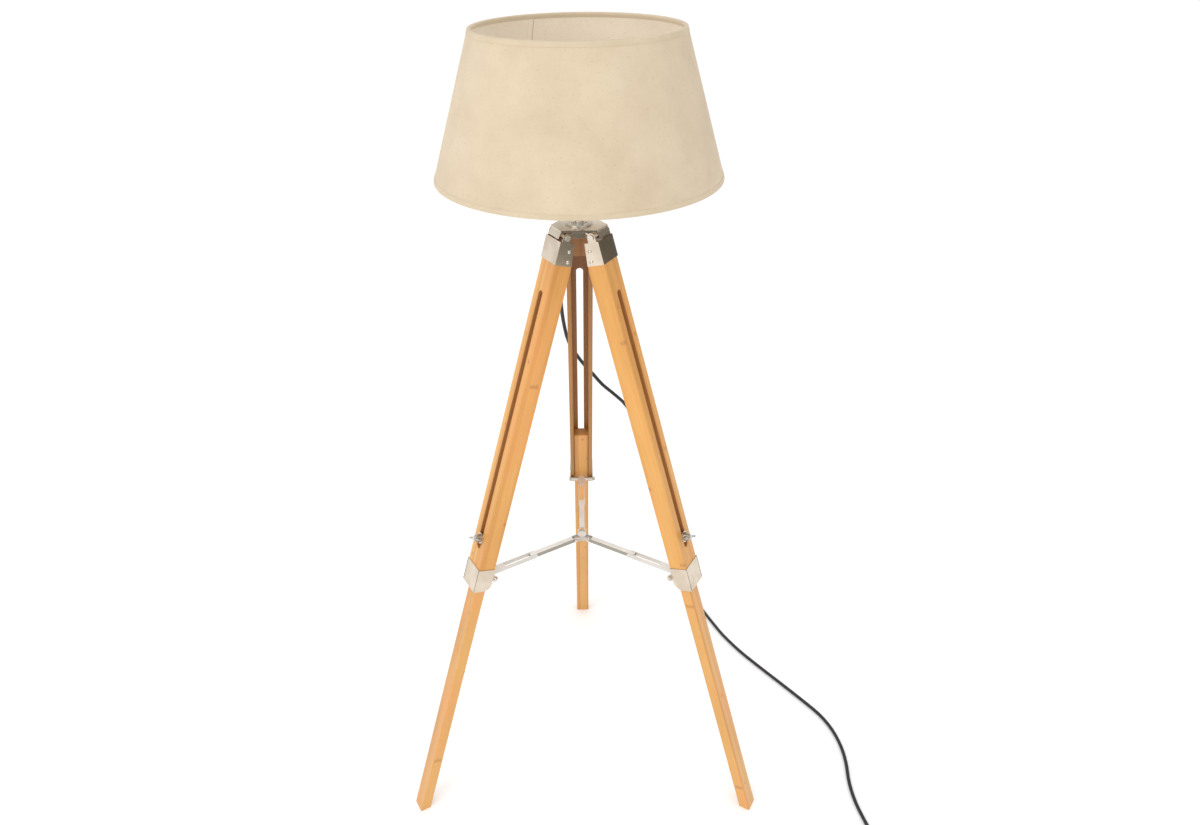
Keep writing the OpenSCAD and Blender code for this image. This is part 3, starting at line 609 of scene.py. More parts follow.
def joined(name, shapes, smooth_below=35):
    """One mesh of several shapes in millimetres, each moved by its own matrix, with its faces outwards."""
    mesh = bpy.data.meshes.new(name)

    def gather(work):
        for (points, faces), place in shapes:
            made = [work.verts.new(place @ (Vector(p) * MM)) for p in points]
            for face in faces:
                work.faces.new([made[i] for i in face])
        face_outwards(work)

    edit_mesh(mesh, gather)
    return add_piece(name, smooth(mesh, smooth_below))


def shapes_of(piece):
    """A finished piece's faces again, in place for joined; the piece itself goes."""
    points = [v.co / MM for v in piece.data.vertices]
    faces = [list(p.vertices) for p in piece.data.polygons]
    bpy.data.objects.remove(piece)
    return (points, faces), HERE


# ---- node trees for what repeats ----


def geometry_tree(name, inputs, build):
    """A Geometry Nodes tree with named inputs; build returns the mesh before its finish."""
    tree = bpy.data.node_groups.new(name, "GeometryNodeTree")
    shape = {"Geometry": "NodeSocketGeometry"}
    start, end = open_group(tree, INPUT={**shape, **inputs, "Finish": "NodeSocketMaterial"}, OUTPUT=shape)
    given = given_by(start)
    real = add_node(tree, "GeometryNodeRealizeInstances", {0: build(tree, given)})
    coated = add_node(tree, "GeometryNodeSetMaterial", {"Geometry": real, "Material": given["Finish"]})
    feed(end, {"Geometry": coated})
    return tree


def grown(name, tree, mesh, smooth_below=30, **values):
    """The plain mesh that a tree makes from a mesh and its named sizes."""
    piece = add_piece(name, mesh)
    made = modify(piece, "NODES", node_group=tree)
    for item in tree.interface.items_tree:
        key = item.name.replace(" ", "_")
        if item.item_type == "SOCKET" and item.in_out == "INPUT" and key in values:
            made[item.identifier] = values.pop(key)
    if values:
        raise ValueError(f"{tree.name} has no input {sorted(values)}")
    return settle(piece, smooth_below)


def moved(geometry, place=NOWHERE, turn=NOWHERE):
    return add_node(geometry.tree, "GeometryNodeTransform", {
        "Geometry": geometry, "Translation": place, "Rotation": turn})


def place_split(tree):
    """Each point's x, y and z, and its distance from z as a vector."""
    x, y, z = add_node(tree, "GeometryNodeInputPosition").split()
    return x, y, z, vector_of(tree, x, y)


def spin_by(tree, angle):
    return add_node(tree, "FunctionNodeAxisAngleToRotation", {"Axis": (0, 0, 1), "Angle": angle})


def cylinder(tree, radius, depth, vertices, more=()):
    return add_node(tree, "GeometryNodeMeshCylinder", {
        "Vertices": vertices, "Radius": radius, "Depth": depth, **dict(more)})


def on_points(tree, points, instance, **more):
    return add_node(tree, "GeometryNodeInstanceOnPoints", {"Points": points, "Instance": instance, **more})


def build_screws(tree, given):
    """Domed heads with a cross recess and a shank, on points that hold the way each screw looks out."""
    wide, tall, shank_long = given["Head Width"], given["Head Height"], given["Shank Length"]
    radius = wide * 0.5
    head = moved(cylinder(tree, radius, tall, 32, {"Fill Segments": 5}), vector_of(tree, z=tall * 0.5))
    _, _, z, flat = place_split(tree)
    sink = (flat.length() / radius).calc("POWER", 3.0) * (z > tall * 0.5) * tall * -0.5
    head = add_node(tree, "GeometryNodeSetPosition", {"Geometry": head, "Offset": vector_of(tree, z=sink)})
    arm, deep = wide * 0.6, given["Cross Depth"] * 2.0
    for along, across in ((arm, given["Cross Width"]), (given["Cross Width"], arm)):
        bar = add_node(tree, "GeometryNodeMeshCube", {"Size": vector_of(tree, along, across, deep)})
        head = add_node(tree, "GeometryNodeMeshBoolean", {0: head, 1: moved(bar, vector_of(tree, z=tall))},
                        operation="DIFFERENCE", solver="EXACT")
    shank = cylinder(tree, given["Shank Width"] * 0.5, shank_long, 24)
    shank = moved(shank, vector_of(tree, z=shank_long * -0.499))
    screw = add_node(tree, "GeometryNodeJoinGeometry", {0: [shank, head]})
    out = add_node(tree, "GeometryNodeInputNamedAttribute", {"Name": "screw_out"}, data_type="FLOAT_VECTOR")
    facing = add_node(tree, "FunctionNodeAlignRotationToVector", {"Vector": out}, axis="Z")
    turn = add_node(tree, "FunctionNodeRandomValue", {2: 0.0, 3: 3.14, "Seed": given["Seed"]}, 1,
                    data_type="FLOAT")
    both_turns = add_node(tree, "FunctionNodeRotateRotation", {0: facing, 1: spin_by(tree, turn)},
                          rotation_space="LOCAL")
    return on_points(tree, given["Geometry"], screw, Rotation=both_turns)


screw_tree = geometry_tree("cross head screws", {
    "Head Width": 0.006, "Head Height": 0.0016, "Shank Width": 0.003, "Shank Length": 0.010,
    "Cross Width": 0.0009, "Cross Depth": 0.0009, "Seed": 0}, build_screws)


def build_thread(tree, given):
    """A round bar along z whose surface winds out and in once per pitch, fading at both ends."""
    long, pitch, radius = given["Length"], given["Pitch"], given["Radius"]
    rings = add_node(tree, "FunctionNodeFloatToInt", {0: long / pitch * 8.0}, rounding_mode="CEILING")
    bar = cylinder(tree, radius, long, 40, {"Side Segments": rings})
    x, y, z, flat = place_split(tree)
    turns = z / pitch - y.calc("ARCTAN2", x) / (2 * math.pi)
    wave = ((turns * (2 * math.pi)).calc("COSINE") - 1.0) * (given["Depth"] * 0.5)
    fade = add_node(tree, "ShaderNodeMapRange", {0: long * 0.5 - abs(z), 1: 0.0, 2: pitch, 3: 0.0, 4: 1.0})
    outwards = add_node(tree, "ShaderNodeVectorMath", {0: flat}, operation="NORMALIZE")
    shift = add_node(tree, "ShaderNodeVectorMath", {0: outwards, "Scale": wave * fade}, operation="SCALE")
    return add_node(tree, "GeometryNodeSetPosition", {
        "Geometry": bar, "Selection": flat.length() > radius * 0.5, "Offset": shift})


thread_tree = geometry_tree("wound thread", {
    "Radius": 0.004, "Depth": 0.0006, "Pitch": 0.00125, "Length": 0.02}, build_thread)


def build_ribs(tree, given):
    """Upright ribs round a ring, one ring on each point."""
    circle = add_node(tree, "GeometryNodeMeshCircle", {"Vertices": given["Count"], "Radius": given["Radius"]})
    rib = cylinder(tree, given["Rib Width"] * 0.5, given["Rib Height"], 8)
    return on_points(tree, given["Geometry"], on_points(tree, circle, rib))


rib_tree = geometry_tree("ribs round a ring", {
    "Count": 40, "Radius": 0.027, "Rib Width": 0.0016, "Rib Height": 0.006}, build_ribs)


def build_row(tree, given):
    """A row of round bars lying across x, set out along y on each point."""
    count, spacing = given["Count"], given["Spacing"]
    line = add_node(tree, "GeometryNodeMeshLine", {
        "Count": count, "Start Location": vector_of(tree, y=(count - 1.0) * (spacing * -0.5)),
        "Offset": vector_of(tree, y=spacing)}, mode="OFFSET")
    bar = cylinder(tree, given["Bar Width"] * 0.5, given["Bar Length"], 12)
    row = on_points(tree, line, moved(bar, turn=(0, math.pi / 2, 0)))
    out = add_node(tree, "GeometryNodeInputNamedAttribute", {"Name": "row_turn"}, data_type="FLOAT")
    return on_points(tree, given["Geometry"], row, Rotation=spin_by(tree, out))


row_tree = geometry_tree("bars in a row", {
    "Count": 5, "Spacing": 0.002, "Bar Width": 0.001, "Bar Length": 0.01}, build_row)


def screws_on(name, node, spots, seed, **sizes):
    """A node's screws, on points given as (place, way out), with their sizes in millimetres."""
    mesh = mesh_of(name, [place for place, _ in spots], [])
    layer = mesh.attributes.new("screw_out", "FLOAT_VECTOR", "POINT")
    for mark, (_, out) in zip(layer.data, spots):
        mark.vector = out
    sizes = {size: value * MM for size, value in sizes.items()}
    screws = grown(name, screw_tree, mesh, Seed=seed, Finish=screw_metal, **sizes)
    fitted(screws, screw_metal, node)


def ridges_at(place, degrees, count, spacing, wide, long):
    """A row of ridges to grip, sizes in millimetres, turned about z."""
    mesh = mesh_of("ridges", [place], [])
    mesh.attributes.new("row_turn", "FLOAT", "POINT").data[0].value = math.radians(degrees)
    return shapes_of(grown("ridges", row_tree, mesh, Count=count, Spacing=spacing * MM, Bar_Width=wide * MM,
                           Bar_Length=long * MM))

# ---- finishes ----

leg_plate = metal("nickel_plate", (220, 207, 189), 0.13, (206, 192, 173), scale=900.0)
head_metal = metal("head_cast_nickel", (218, 207, 191), 0.17, (200, 189, 172), scale=500.0, strength=0.1,
                   depth=0.00004)
# Darker in the seams of its strap: painted shade
ferrule_plate = metal("ferrule_plate", (220, 207, 189), 0.13, (206, 192, 173), scale=900.0,
                      shaded=(96, 88, 74))
# Painted shade on the upright sides of the arms and the hub
spreader_metal = metal("spreader_steel", (240, 236, 230), 0.45, (230, 225, 218), shaded=(158, 154, 142),
                       metallic=0.5)
bolt_metal = metal("bolt_zinc", (214, 207, 196), 0.24, spread=0.12)
screw_metal = metal("screw_nickel", (222, 215, 204), 0.2)
wing_chrome = metal("wing_nut_chrome", (190, 184, 174), 0.24, (170, 164, 153), scale=400.0, strength=0.05)
stem_metal = metal("stem_nickel", (208, 206, 200), 0.28, stretch=(1, 1, 0.05))
brass = metal("brass", (214, 178, 106), 0.28, (184, 144, 82), spread=0.16)
wire_metal = metal("frame_wire_white_zinc", (205, 206, 208), 0.36, (186, 187, 190), spread=0.14)
pin_metal = metal("plug_pin_nickel", (216, 212, 200), 0.16)
holder_black = plastic("lampholder_black", (26, 26, 27), 0.46, (34, 34, 35))
sheath_black = plastic("cord_sheath_black", (22, 22, 23), 0.42, (30, 30, 31), 1400.0, 0.15)
fitting_black = plastic("cord_fitting_black", (20, 20, 21), 0.38, (28, 28, 29))
rocker_black = plastic("switch_rocker_black", (24, 24, 25), 0.24, (30, 30, 31), 500.0, 0.1)
upper_wood, lower_wood = {}, {}
for i, leg in enumerate(LEGS):
    # The back upper leg is a shaded copy of the bamboo, as painted shade: darker tones, fainter orange patches and
    # a darker painted shade colour
    if leg == "back":
        look = {"pale": (177, 127, 58), "deep": (152, 99, 36), "blush": 0.1, "painted_shade": (160, 106, 44)}
    else:
        look = {"pale": (226, 170, 88), "deep": (201, 137, 60)}
    upper_wood[leg] = bamboo("upper_bamboo_" + leg, leg, 3.0 + 11 * i, strip_width=0.0058, **look)
    # The lower legs carry painted shade where their face shows through the slot
    lower_wood[leg] = bamboo("lower_bamboo_" + leg, leg, 41.0 + 13 * i, (217, 161, 83), (194, 133, 61),
                             0.0052, 0.3)
cover_linen = linen("shade_linen", (214, 197, 170), (197, 177, 149), seam_line=0.5)
lining_cloth = linen("shade_lining", (228, 215, 196), (216, 202, 182), 0.0004, 0.25, seam_line=0.5)
hem_tape = linen("shade_hem_tape", (210, 193, 166), (193, 175, 147), 0.0005, 0.4)

# ---- legs, brackets and ferrules ----

INNER_X, FACE_X, CHEEK_Y, PLATE_T = -22.5, 9.5, 23.7, 1.2
WALL_X = INNER_X + 5  # faces that look inwards further out than this are a channel's floor
CHANNEL_HALF = 16.0  # half the channel's width, and a little more
FERRULE_LOW, FERRULE_HIGH = -680.0, -600.0  # a stretch of the leg that holds the whole ferrule
FOLD_FROM_EDGE, FOLD_W, FOLD_DEPTH = 0.6, 1.1, 0.8  # the open seam where a ferrule's strap meets its cheeks
SCREW_PLACES = [(INNER_X + 13, -22.0), (INNER_X + 11, -39.0)]


def ferrule(leg):
    """An end ferrule with an open seam down each side of its strap, whose faces take painted shade."""
    place = leg_frame(leg)
    into = place.inverted()
    outer, floor_x = FACE_X + PLATE_T, FACE_X + PLATE_T - FOLD_DEPTH
    seam = CHEEK_Y - FOLD_FROM_EDGE - FOLD_W / 2
    cuts = [block(place, (floor_x, side * seam - FOLD_W / 2, FERRULE_LOW),
                  (outer + 1, side * seam + FOLD_W / 2, FERRULE_HIGH)) for side in (-1, 1)]

    # Faces in the seams take the painted shade colour
    def in_seam(face):
        x, y, _ = (into @ face.center) / MM
        return float(floor_x - 0.1 < x < outer - 0.1 and abs(abs(y) - seam) < FOLD_W / 2 + 0.1)

    finish("ferrule_" + leg, ferrule_plate, 0.25, cuts=cuts, share_of=in_seam)


def upper_leg(leg):
    """A channel of bamboo with painted shade on the walls of its slot and channel, and on the back leg's channel
    floor.
    """
    into = leg_frame(leg).inverted()

    def inside(face):
        way, spot = into.to_3x3() @ face.normal, (into @ face.center) / MM
        wall = abs(way.y) > 0.8
        floor = leg == "back" and way.x < -0.8 and spot.x > WALL_X
        return float((wall or floor) and abs(spot.y) < CHANNEL_HALF)

    finish("upper_leg_" + leg, upper_wood[leg], 0.6, share_of=inside)


for leg in LEGS:
    upper_leg(leg)
    finish("lower_leg_" + leg, lower_wood[leg], 0.6)
    finish("top_bracket_" + leg, leg_plate, 0.25)
    ferrule(leg)
for i, leg in enumerate(LEGS):
    place = leg_frame(leg)
    spots = [(place @ (Vector((x, side * CHEEK_Y, z)) * MM), place.to_3x3() @ Vector((0, side, 0)))
             for x, z in SCREW_PLACES for side in (-1, 1)]
    screws_on("bracket_screws_finish_" + leg, "bracket_screws_" + leg, spots, i, Head_Width=6.2,
              Head_Height=1.7, Shank_Width=3, Shank_Length=10.7)

# ---- head, stem and its screws ----

FLANGE_TOP, FLANGE_SCREW_R = 1155.58, 14.0
finish("head", head_metal, 0.6, 3)
finish("stem", stem_metal, 0.6, 3)
finish("hinge_pins", bolt_metal, 0.5, 3)
finish("tube_nut", brass, 0.3)
spots = [(lamp_point(*point), (0, 0, 1)) for point in ring(FLANGE_SCREW_R, FLANGE_TOP, 3, math.pi / 2)]
screws_on("flange_screws_finish", "flange_screws", spots, 5, Head_Width=7, Head_Height=2.2, Shank_Width=3,
          Shank_Length=6.9, Cross_Width=1, Cross_Depth=1.1)

# ---- spreader ----


def on_side(share):
    """Marks upright faces by a share, for painted shade on the sides."""
    return lambda face: share * (abs(face.normal.z) < 0.6)


# The upright sides of the arms and the hub take painted shade
for leg in LEGS:
    finish("arm_fork_" + leg, spreader_metal, 0.3, share_of=on_side(0.35))
    finish("arm_bar_" + leg, spreader_metal, 0.3, share_of=on_side(1.0))
    finish("spreader_bolt_" + leg, bolt_metal)
finish("hub", spreader_metal, share_of=on_side(0.6))
finish("hub_rivets", bolt_metal, 0.3)

# ---- clamps: stud, washer and wing nut ----

CLAMP_Z, STUD_R, STUD_FROM, WASHER_T, NUT_H, THREAD_PAST_NUT = 565.0, 4.0, -13.8, 1.6, 9.0, 4.0
THREAD_PITCH, THREAD_DEPTH = 1.25, 0.7
NUT_GRAIN, NUT_SMOOTHING = 0.34, 9  # how finely the wing nuts are meshed, and how often they are smoothed


def clamp_bolt(leg):
    """A stud set into the lower leg, with a thread that ends past the wing nut."""
    place = leg_frame(leg) @ shift_by(0, 0, -CLAMP_Z) @ turn_by(90, "Y")
    start, tip = FACE_X + WASHER_T - 1, FACE_X + WASHER_T + NUT_H + THREAD_PAST_NUT
    solid = turned([(0, STUD_FROM), (STUD_R - 0.4, STUD_FROM), (STUD_R, STUD_FROM + 0.4), (STUD_R, start),
                    (0, start)])
    bar = grown("thread", thread_tree, mesh_of("start", [], []), Radius=STUD_R * MM, Depth=THREAD_DEPTH * MM,
                Pitch=THREAD_PITCH * MM, Length=(tip - start + 1) * MM)
    thread, _ = shapes_of(bar)
    piece = joined("clamp_bolt_finish_" + leg,
                   [(solid, place), (thread, place @ shift_by(0, 0, (tip + start - 1) / 2))])
    fitted(piece, bolt_metal, "clamp_bolt_" + leg)


def wing_nut(leg):
    """The wing nut with the full fillets of a casting."""
    piece = add_piece("wing_nut_finish_" + leg, clean_copy("wing_nut_" + leg))
    modify(piece, "REMESH", mode="VOXEL", voxel_size=NUT_GRAIN * MM, use_smooth_shade=True)
    modify(piece, "SMOOTH", factor=0.5, iterations=NUT_SMOOTHING)
    settle(piece)
    smooth(piece.data, None)
    fitted(piece, wing_chrome, "wing_nut_" + leg)


for leg in LEGS:
    clamp_bolt(leg)
    wing_nut(leg)
    finish("clamp_washer_" + leg, bolt_metal, 0.3)

# ---- lampholder ----

HOLDER_Z, HOLDER_R, HOLDER_H, SHELL_R = 1227.08, 19.5, 52.0, 13.3
RING_THREAD_LOW, RING_THREAD_PITCH = 9.0, 3.0
SHELL_LOW, SHELL_PITCH, SHELL_RELIEF, SHELL_STEPS, SHELL_T = 12.0, 3.6, 0.4, 72, 0.45
SHELL_BELOW_RIM, SHELL_FADE = 3.2, 2.0  # where the shell ends, and the stretch over which its thread dies out
RING_R, RING_RIBS, FITTER_Z = 27.0, 48, 1259.32
AT_HOLDER = at_lamp(0, 0, HOLDER_Z)


def lampholder_body():
    """The holder's body with the ring thread that the two shade rings run on."""
    r, h = HOLDER_R, HOLDER_H
    wall = [(r - 4, 3), (r - 4, 0.4), (r - 3.6, 0), (r + 0.4, 0), (r + 1, 0.6), (r + 1, 4.4), (r + 0.4, 5)]
    z = RING_THREAD_LOW
    while z < h - 5:
        wall += [(r, z - 1.1), (r - 0.8, z - 0.55), (r - 0.8, z + 0.2), (r, z + 0.75)]
        z += RING_THREAD_PITCH
    wall += [(r, h - 0.8), (r - 0.8, h), (SHELL_R + 1.6, h), (SHELL_R + 1, h - 0.6), (SHELL_R + 1, 10),
             (3.2, 8), (3.2, 3)]
    piece = joined("lampholder_body_finish", [(turned_ring(wall, 72), AT_HOLDER)])
    fitted(piece, holder_black, "lampholder_body")


def screw_shell():
    """The brass shell, its wall rolled into a thread."""
    high = HOLDER_H - SHELL_BELOW_RIM
    rows = round((high - SHELL_LOW) / SHELL_PITCH * 12)
    points = []
    for wall, order in ((SHELL_T, range(rows + 1)), (0, range(rows, -1, -1))):
        for i in order:
            z = SHELL_LOW + (high - SHELL_LOW) * i / rows
            fade = min(1, (z - SHELL_LOW) / SHELL_FADE, (high - z) / SHELL_FADE)
            for k in range(SHELL_STEPS):
                angle = 2 * math.pi * k / SHELL_STEPS
                wave = 0.5 - 0.5 * math.cos(2 * math.pi * z / SHELL_PITCH - angle)
                r = SHELL_R - 0.1 + wall + SHELL_RELIEF * wave * fade
                points.append((r * math.cos(angle), r * math.sin(angle), z))
    shell = points, ring_faces(2 * (rows + 1), SHELL_STEPS)
    fitted(joined("screw_shell_finish", [(shell, AT_HOLDER)], 60), brass, "screw_shell")


def shade_rings_and_ribs():
    """The two rings that hold the shade, with ribs to grip."""
    heights = (FITTER_Z - 7.1, FITTER_Z + 1.1)
    inner, outer = HOLDER_R + 0.1, RING_R - 1.1
    one = turned_ring([(inner, 0.5), (inner + 0.5, 0), (outer - 0.5, 0), (outer, 0.6), (outer, 5.4),
                       (outer - 0.5, 6), (inner + 0.5, 6), (inner, 5.5)], 96)
    middles = mesh_of("ring_middles", [lamp_point(0, 0, z + 3) for z in heights], [])
    ribs = grown("ribs", rib_tree, middles, Count=RING_RIBS, Radius=(RING_R - 1.0) * MM, Rib_Width=1.8 * MM,
                 Rib_Height=5.4 * MM)
    piece = joined("shade_ring_nuts_finish", [(one, at_lamp(0, 0, z)) for z in heights] + [shapes_of(ribs)])
    fitted(piece, holder_black, "shade_ring_nuts")


finish("lampholder_cap", holder_black, 0.6, 3)
lampholder_body()
screw_shell()
shade_rings_and_ribs()
finish("shade_fitter", wire_metal, 0.3)
for node, material in (("shade_rings", wire_metal), ("threaded_tube", brass), ("centre_contact", brass)):
    for place in nodes[node].material_slots:
        place.material = material

# ---- shade ----

SHADE_Z, SHADE_H, BOTTOM_R, TOP_R = 1233.32, 220.0, 225.0, 160.0
SLOPE = (BOTTOM_R - TOP_R) / SHADE_H
CONE_SINE = SLOPE / math.hypot(1, SLOPE)
COVER_T, LINING_T, GLUE_GAP, HEM_H, HEM_T = 1.0, 0.6, 0.15, 7.0, 0.6
LINING_SHORT = 0.5  # how far the lining stops short of the cover's edge, top and bottom
SHEET_ROWS, HEM_STEPS = 30, 240
SEAM_AT = 117.0  # azimuth of the shade's glued seam


def shade_r(z):
    return BOTTOM_R - SLOPE * z


def seam_columns(lap):
    """Azimuths round the shade, close together at the two edges of the seam's lap, and half of the lap."""
    half, step = math.degrees(lap / 2 / BOTTOM_R), math.degrees(0.35 / BOTTOM_R)
    others = [a for a in (2.0 * k - 179 for k in range(180)) if abs(a) > half + 2 * step]
    return sorted([-half - step, -half, half, half + step] + others), half


def map_cloth(mesh, place_of):
    """The cloth's own UV map: place_of takes a point and its face's points to metres on the flat cloth."""
    cloth = mesh.uv_layers.new(name="cloth")
    for face in mesh.polygons:
        for corner, point in zip(face.loop_indices, face.vertices):
            cloth.data[corner].uv = place_of(point, face.vertices)


def cone_sheet(name, z0, z1, inset, thick, lap, rise, outside):
    """A conical sheet glued up with a lapped seam; its UV map is its flat cut."""
    turns, half = seam_columns(lap)
    count = len(turns)
    levels = [z0 + (z1 - z0) * i / SHEET_ROWS for i in range(SHEET_ROWS + 1)]
    points = []
    for z in levels:
        for a in turns:
            proud = rise if abs(a) <= half + 1e-6 else 0
            r = shade_r(z) - inset + (proud if outside else -proud)
            angle = math.radians(SEAM_AT + a)
            points.append(lamp_point(r * math.cos(angle), r * math.sin(angle), SHADE_Z + z))
    mesh = mesh_of(name, points, ring_faces(len(levels), count, closed=False, inwards=not outside))

    def on_cut(point, face):
        a = turns[point % count]
        in_lap = all(abs(turns[v % count]) <= half + 1e-6 for v in face)
        spread = math.radians(a - math.copysign(180, a)) * CONE_SINE
        if in_lap and a < 0:
            spread -= 2 * math.pi * CONE_SINE
        reach = shade_r(levels[point // count]) / CONE_SINE * MM
        return reach * math.sin(spread), reach * math.cos(spread)

    map_cloth(mesh, on_cut)
    piece = add_piece(name, mesh)
    modify(piece, "SOLIDIFY", thickness=thick * MM, offset=-1, use_even_offset=True)
    return settle(piece, 50)


# The tape's two faces round the wire, as (out from the shade's face, in from its edge)
HEM_OUT = [(0.42, HEM_H), (HEM_T, HEM_H - 0.5), (0.63, HEM_H / 2), (HEM_T, 0.9), (0.35, -0.1), (-0.6, -0.5),
           (-2.0, -0.55), (-3.9, -0.45), (-5.3, 0.0), (-6.2, 1.0), (-6.4, 2.1), (-6.1, 3.3), (-5.0, 4.6),
           (-3.4, 6.0), (-2.3, 7.0), (-2.05, 8.0)]
HEM_BACK = [(-1.78, 8.0), (-1.95, 6.9), (-3.1, 5.7), (-4.8, 4.25), (-5.7, 3.1), (-5.98, 2.05), (-5.8, 1.1),
            (-5.05, 0.25), (-3.9, -0.05), (-2.0, -0.15), (-0.6, -0.1), (0.02, 0.3), (0.02, HEM_H)]


def hem(name, z_edge, sign):
    """A folded tape down the outside of the shade's edge, over its wire ring and back to the lining."""
    levels = [(out, z_edge - sign * down) for out, down in HEM_OUT + HEM_BACK]
    outline = [(shade_r(z) + out, z) for out, z in levels]
    along = [0.0]
    for a, b in zip(outline, outline[1:]):
        along.append(along[-1] + math.dist(a, b))
    points = [lamp_point(x, y, SHADE_Z + z) for r, level in outline
              for x, y, z in ring(r, level, HEM_STEPS, math.radians(SEAM_AT))]
    mesh = mesh_of(name, points, ring_faces(len(outline), HEM_STEPS))
    around = 2 * math.pi * shade_r(z_edge) * MM

    def on_tape(point, face):
        k = point % HEM_STEPS
        if k == 0 and {v % HEM_STEPS for v in face} == {0, HEM_STEPS - 1}:
            k = HEM_STEPS
        return k / HEM_STEPS * around, along[point // HEM_STEPS] * MM

    map_cloth(mesh, on_tape)
    edit_mesh(mesh, face_outwards)
    return add_piece(name, smooth(mesh, 55))


cover = fitted(cone_sheet("shade_cover_finish", 0, SHADE_H, 0, COVER_T, 11, 0.35, True),
               cover_linen, "shade_cover")
lining = fitted(cone_sheet("shade_lining_finish", LINING_SHORT, SHADE_H - LINING_SHORT,
                           COVER_T + GLUE_GAP + LINING_T, LINING_T, 12, 0.4, False),
                lining_cloth, "shade_lining")
top_hem = fitted(hem("shade_top_hem_finish", SHADE_H, 1), hem_tape, "shade_top_hem")
bottom_hem = fitted(hem("shade_bottom_hem_finish", 0, -1), hem_tape, "shade_bottom_hem")

# ---- what the cord carries ----


def crowned_solid(outline, layers):
    """A closed solid in millimetres whose outline is set in by a little more or less at each height."""
    n = len(outline)
    normals = []
    for i in range(n):
        a, b, c = (Vector(outline[(i + k) % n]) for k in (-1, 0, 1))
        one, two = (b - a).normalized(), (c - b).normalized()
        tangent = (one + two).normalized()
        spread = max(0.5, math.sqrt((1 + one.dot(two)) / 2))
        normals.append(Vector((tangent.y, -tangent.x)) / spread)
    points = [(x - normals[i].x * inset, y - normals[i].y * inset, z)
              for inset, z in layers for i, (x, y) in enumerate(outline)]
    caps = [list(range(n))[::-1], [(len(layers) - 1) * n + k for k in range(n)]]
    return points, caps + ring_faces(len(layers), n, closed=False)


def round_outline(corners, steps=6):
    """An outline in millimetres, going round to the left, from corners given as (x, y, radius)."""
    line = []
    for i, (x, y, r) in enumerate(corners):
        b = Vector((x, y))
        to_a = (Vector(corners[i - 1][:2]) - b).normalized()
        to_c = (Vector(corners[(i + 1) % len(corners)][:2]) - b).normalized()
        reach = r / math.tan(to_a.angle(to_c) / 2)
        start, end = b + to_a * reach, b + to_c * reach
        for k in range(steps + 1):
            t = k / steps
            line.append((1 - t) ** 2 * start + 2 * t * (1 - t) * b + t * t * end)
    return [(p.x, p.y) for p in line]


def round_box(half_x, half_y, r, steps, x=0.0):
    return round_outline([(x + half_x, -half_y, r), (x + half_x, half_y, r), (x - half_x, half_y, r),
                          (x - half_x, -half_y, r)], steps)


def soft_layers(half, r, groove, steps=5):
    """Insets and heights of a solid with round edges, and a parting groove at one height."""
    turn = [math.pi / 2 * k / steps for k in range(steps + 1)]
    return ([(r - r * math.sin(t), r - half - r * math.cos(t)) for t in turn]
            + [(0, groove - 0.5), (0.3, groove - 0.25), (0.3, groove + 0.25), (0, groove + 0.5)]
            + [(r - r * math.cos(t), half - r + r * math.sin(t)) for t in turn])


RELIEF_LEVEL = 1149.56  # where the sleeve is cut off, just under the head
RELIEF_RIBS, RELIEF_PITCH = 5, 3.4


def strain_relief():
    """A tapered sleeve with soft ribs, cut off level where it meets the head."""
    place = at_lamp(0, 0, 0) @ turn_by(150, "Z") @ shift_by(31.4, 0, RELIEF_LEVEL + 0.02) @ turn_by(-12, "Y")
    profile = [(0, -25), (3.9, -25), (4.2, -24.7)]
    for i in range(RELIEF_RIBS):
        z = -22.5 + i * RELIEF_PITCH
        r = 4.2 + 0.5 * (z + 25) / 25
        profile += [(r, z - 0.6), (r - 0.75, z - 0.2), (r - 0.75, z + 0.6), (r + 0.07, z + 1.0)]
    profile += [(4.62, -4.2), (4.7, 2.5), (0, 2.5)]
    piece = joined("strain_relief_finish", [(turned(profile, 40), place)], 50)

    def cut_level(work):
        bmesh.ops.bisect_plane(work, geom=work.verts[:] + work.edges[:] + work.faces[:],
                               plane_co=lamp_point(0, 0, RELIEF_LEVEL), plane_no=(0, 0, 1), clear_outer=True)
        bmesh.ops.holes_fill(work, edges=work.edges)
        face_outwards(work)

    edit_mesh(piece.data, cut_level)
    fitted(piece, fitting_black, "cord_strain_relief")


SWITCH_TURN = -75
SWITCH_Z, PLUG_Z = 9.5, 6.8  # half the heights of the switch and the plug
AT_SWITCH = at_lamp(563.4, -295, SWITCH_Z) @ turn_by(SWITCH_TURN, "Z")
AT_PLUG = at_lamp(575, -408, PLUG_Z) @ turn_by(180, "Z")


def cord_switch():
    """The inline switch's two moulded halves, with the pocket for its rocker."""
    right = [(20, -14, 5.5), (20, -7, 1.2), (25.5, -7, 3.5)]
    right += [(x, -y, r) for x, y, r in right[::-1]]
    outline = round_outline(right + [(-x, y, r) for x, y, r in right[::-1]])
    shell = crowned_solid(outline, soft_layers(SWITCH_Z, 2.4, -1.0))
    body = joined("cord_switch_finish", [(shell, AT_SWITCH)])
    pocket = crowned_solid(round_box(9.5, 6, 1, 3), [(0, 2.5), (0, 9.0), (-0.5, 9.6)])
    carve(body, joined("pocket", [(pocket, AT_SWITCH)]), 35)
    return fitted(body, fitting_black, "cord_switch")


def switch_rocker():
    spot = AT_SWITCH @ (Vector((-4.4, 0, 10.75)) * MM)
    ridges = ridges_at(spot, SWITCH_TURN - 90, 4, 1.6, 0.8, 8.0)
    piece = joined("switch_rocker_finish_all", [shapes_of(rounded("switch_rocker", 0.5, 3)), ridges])
    return fitted(piece, rocker_black, "switch_rocker")


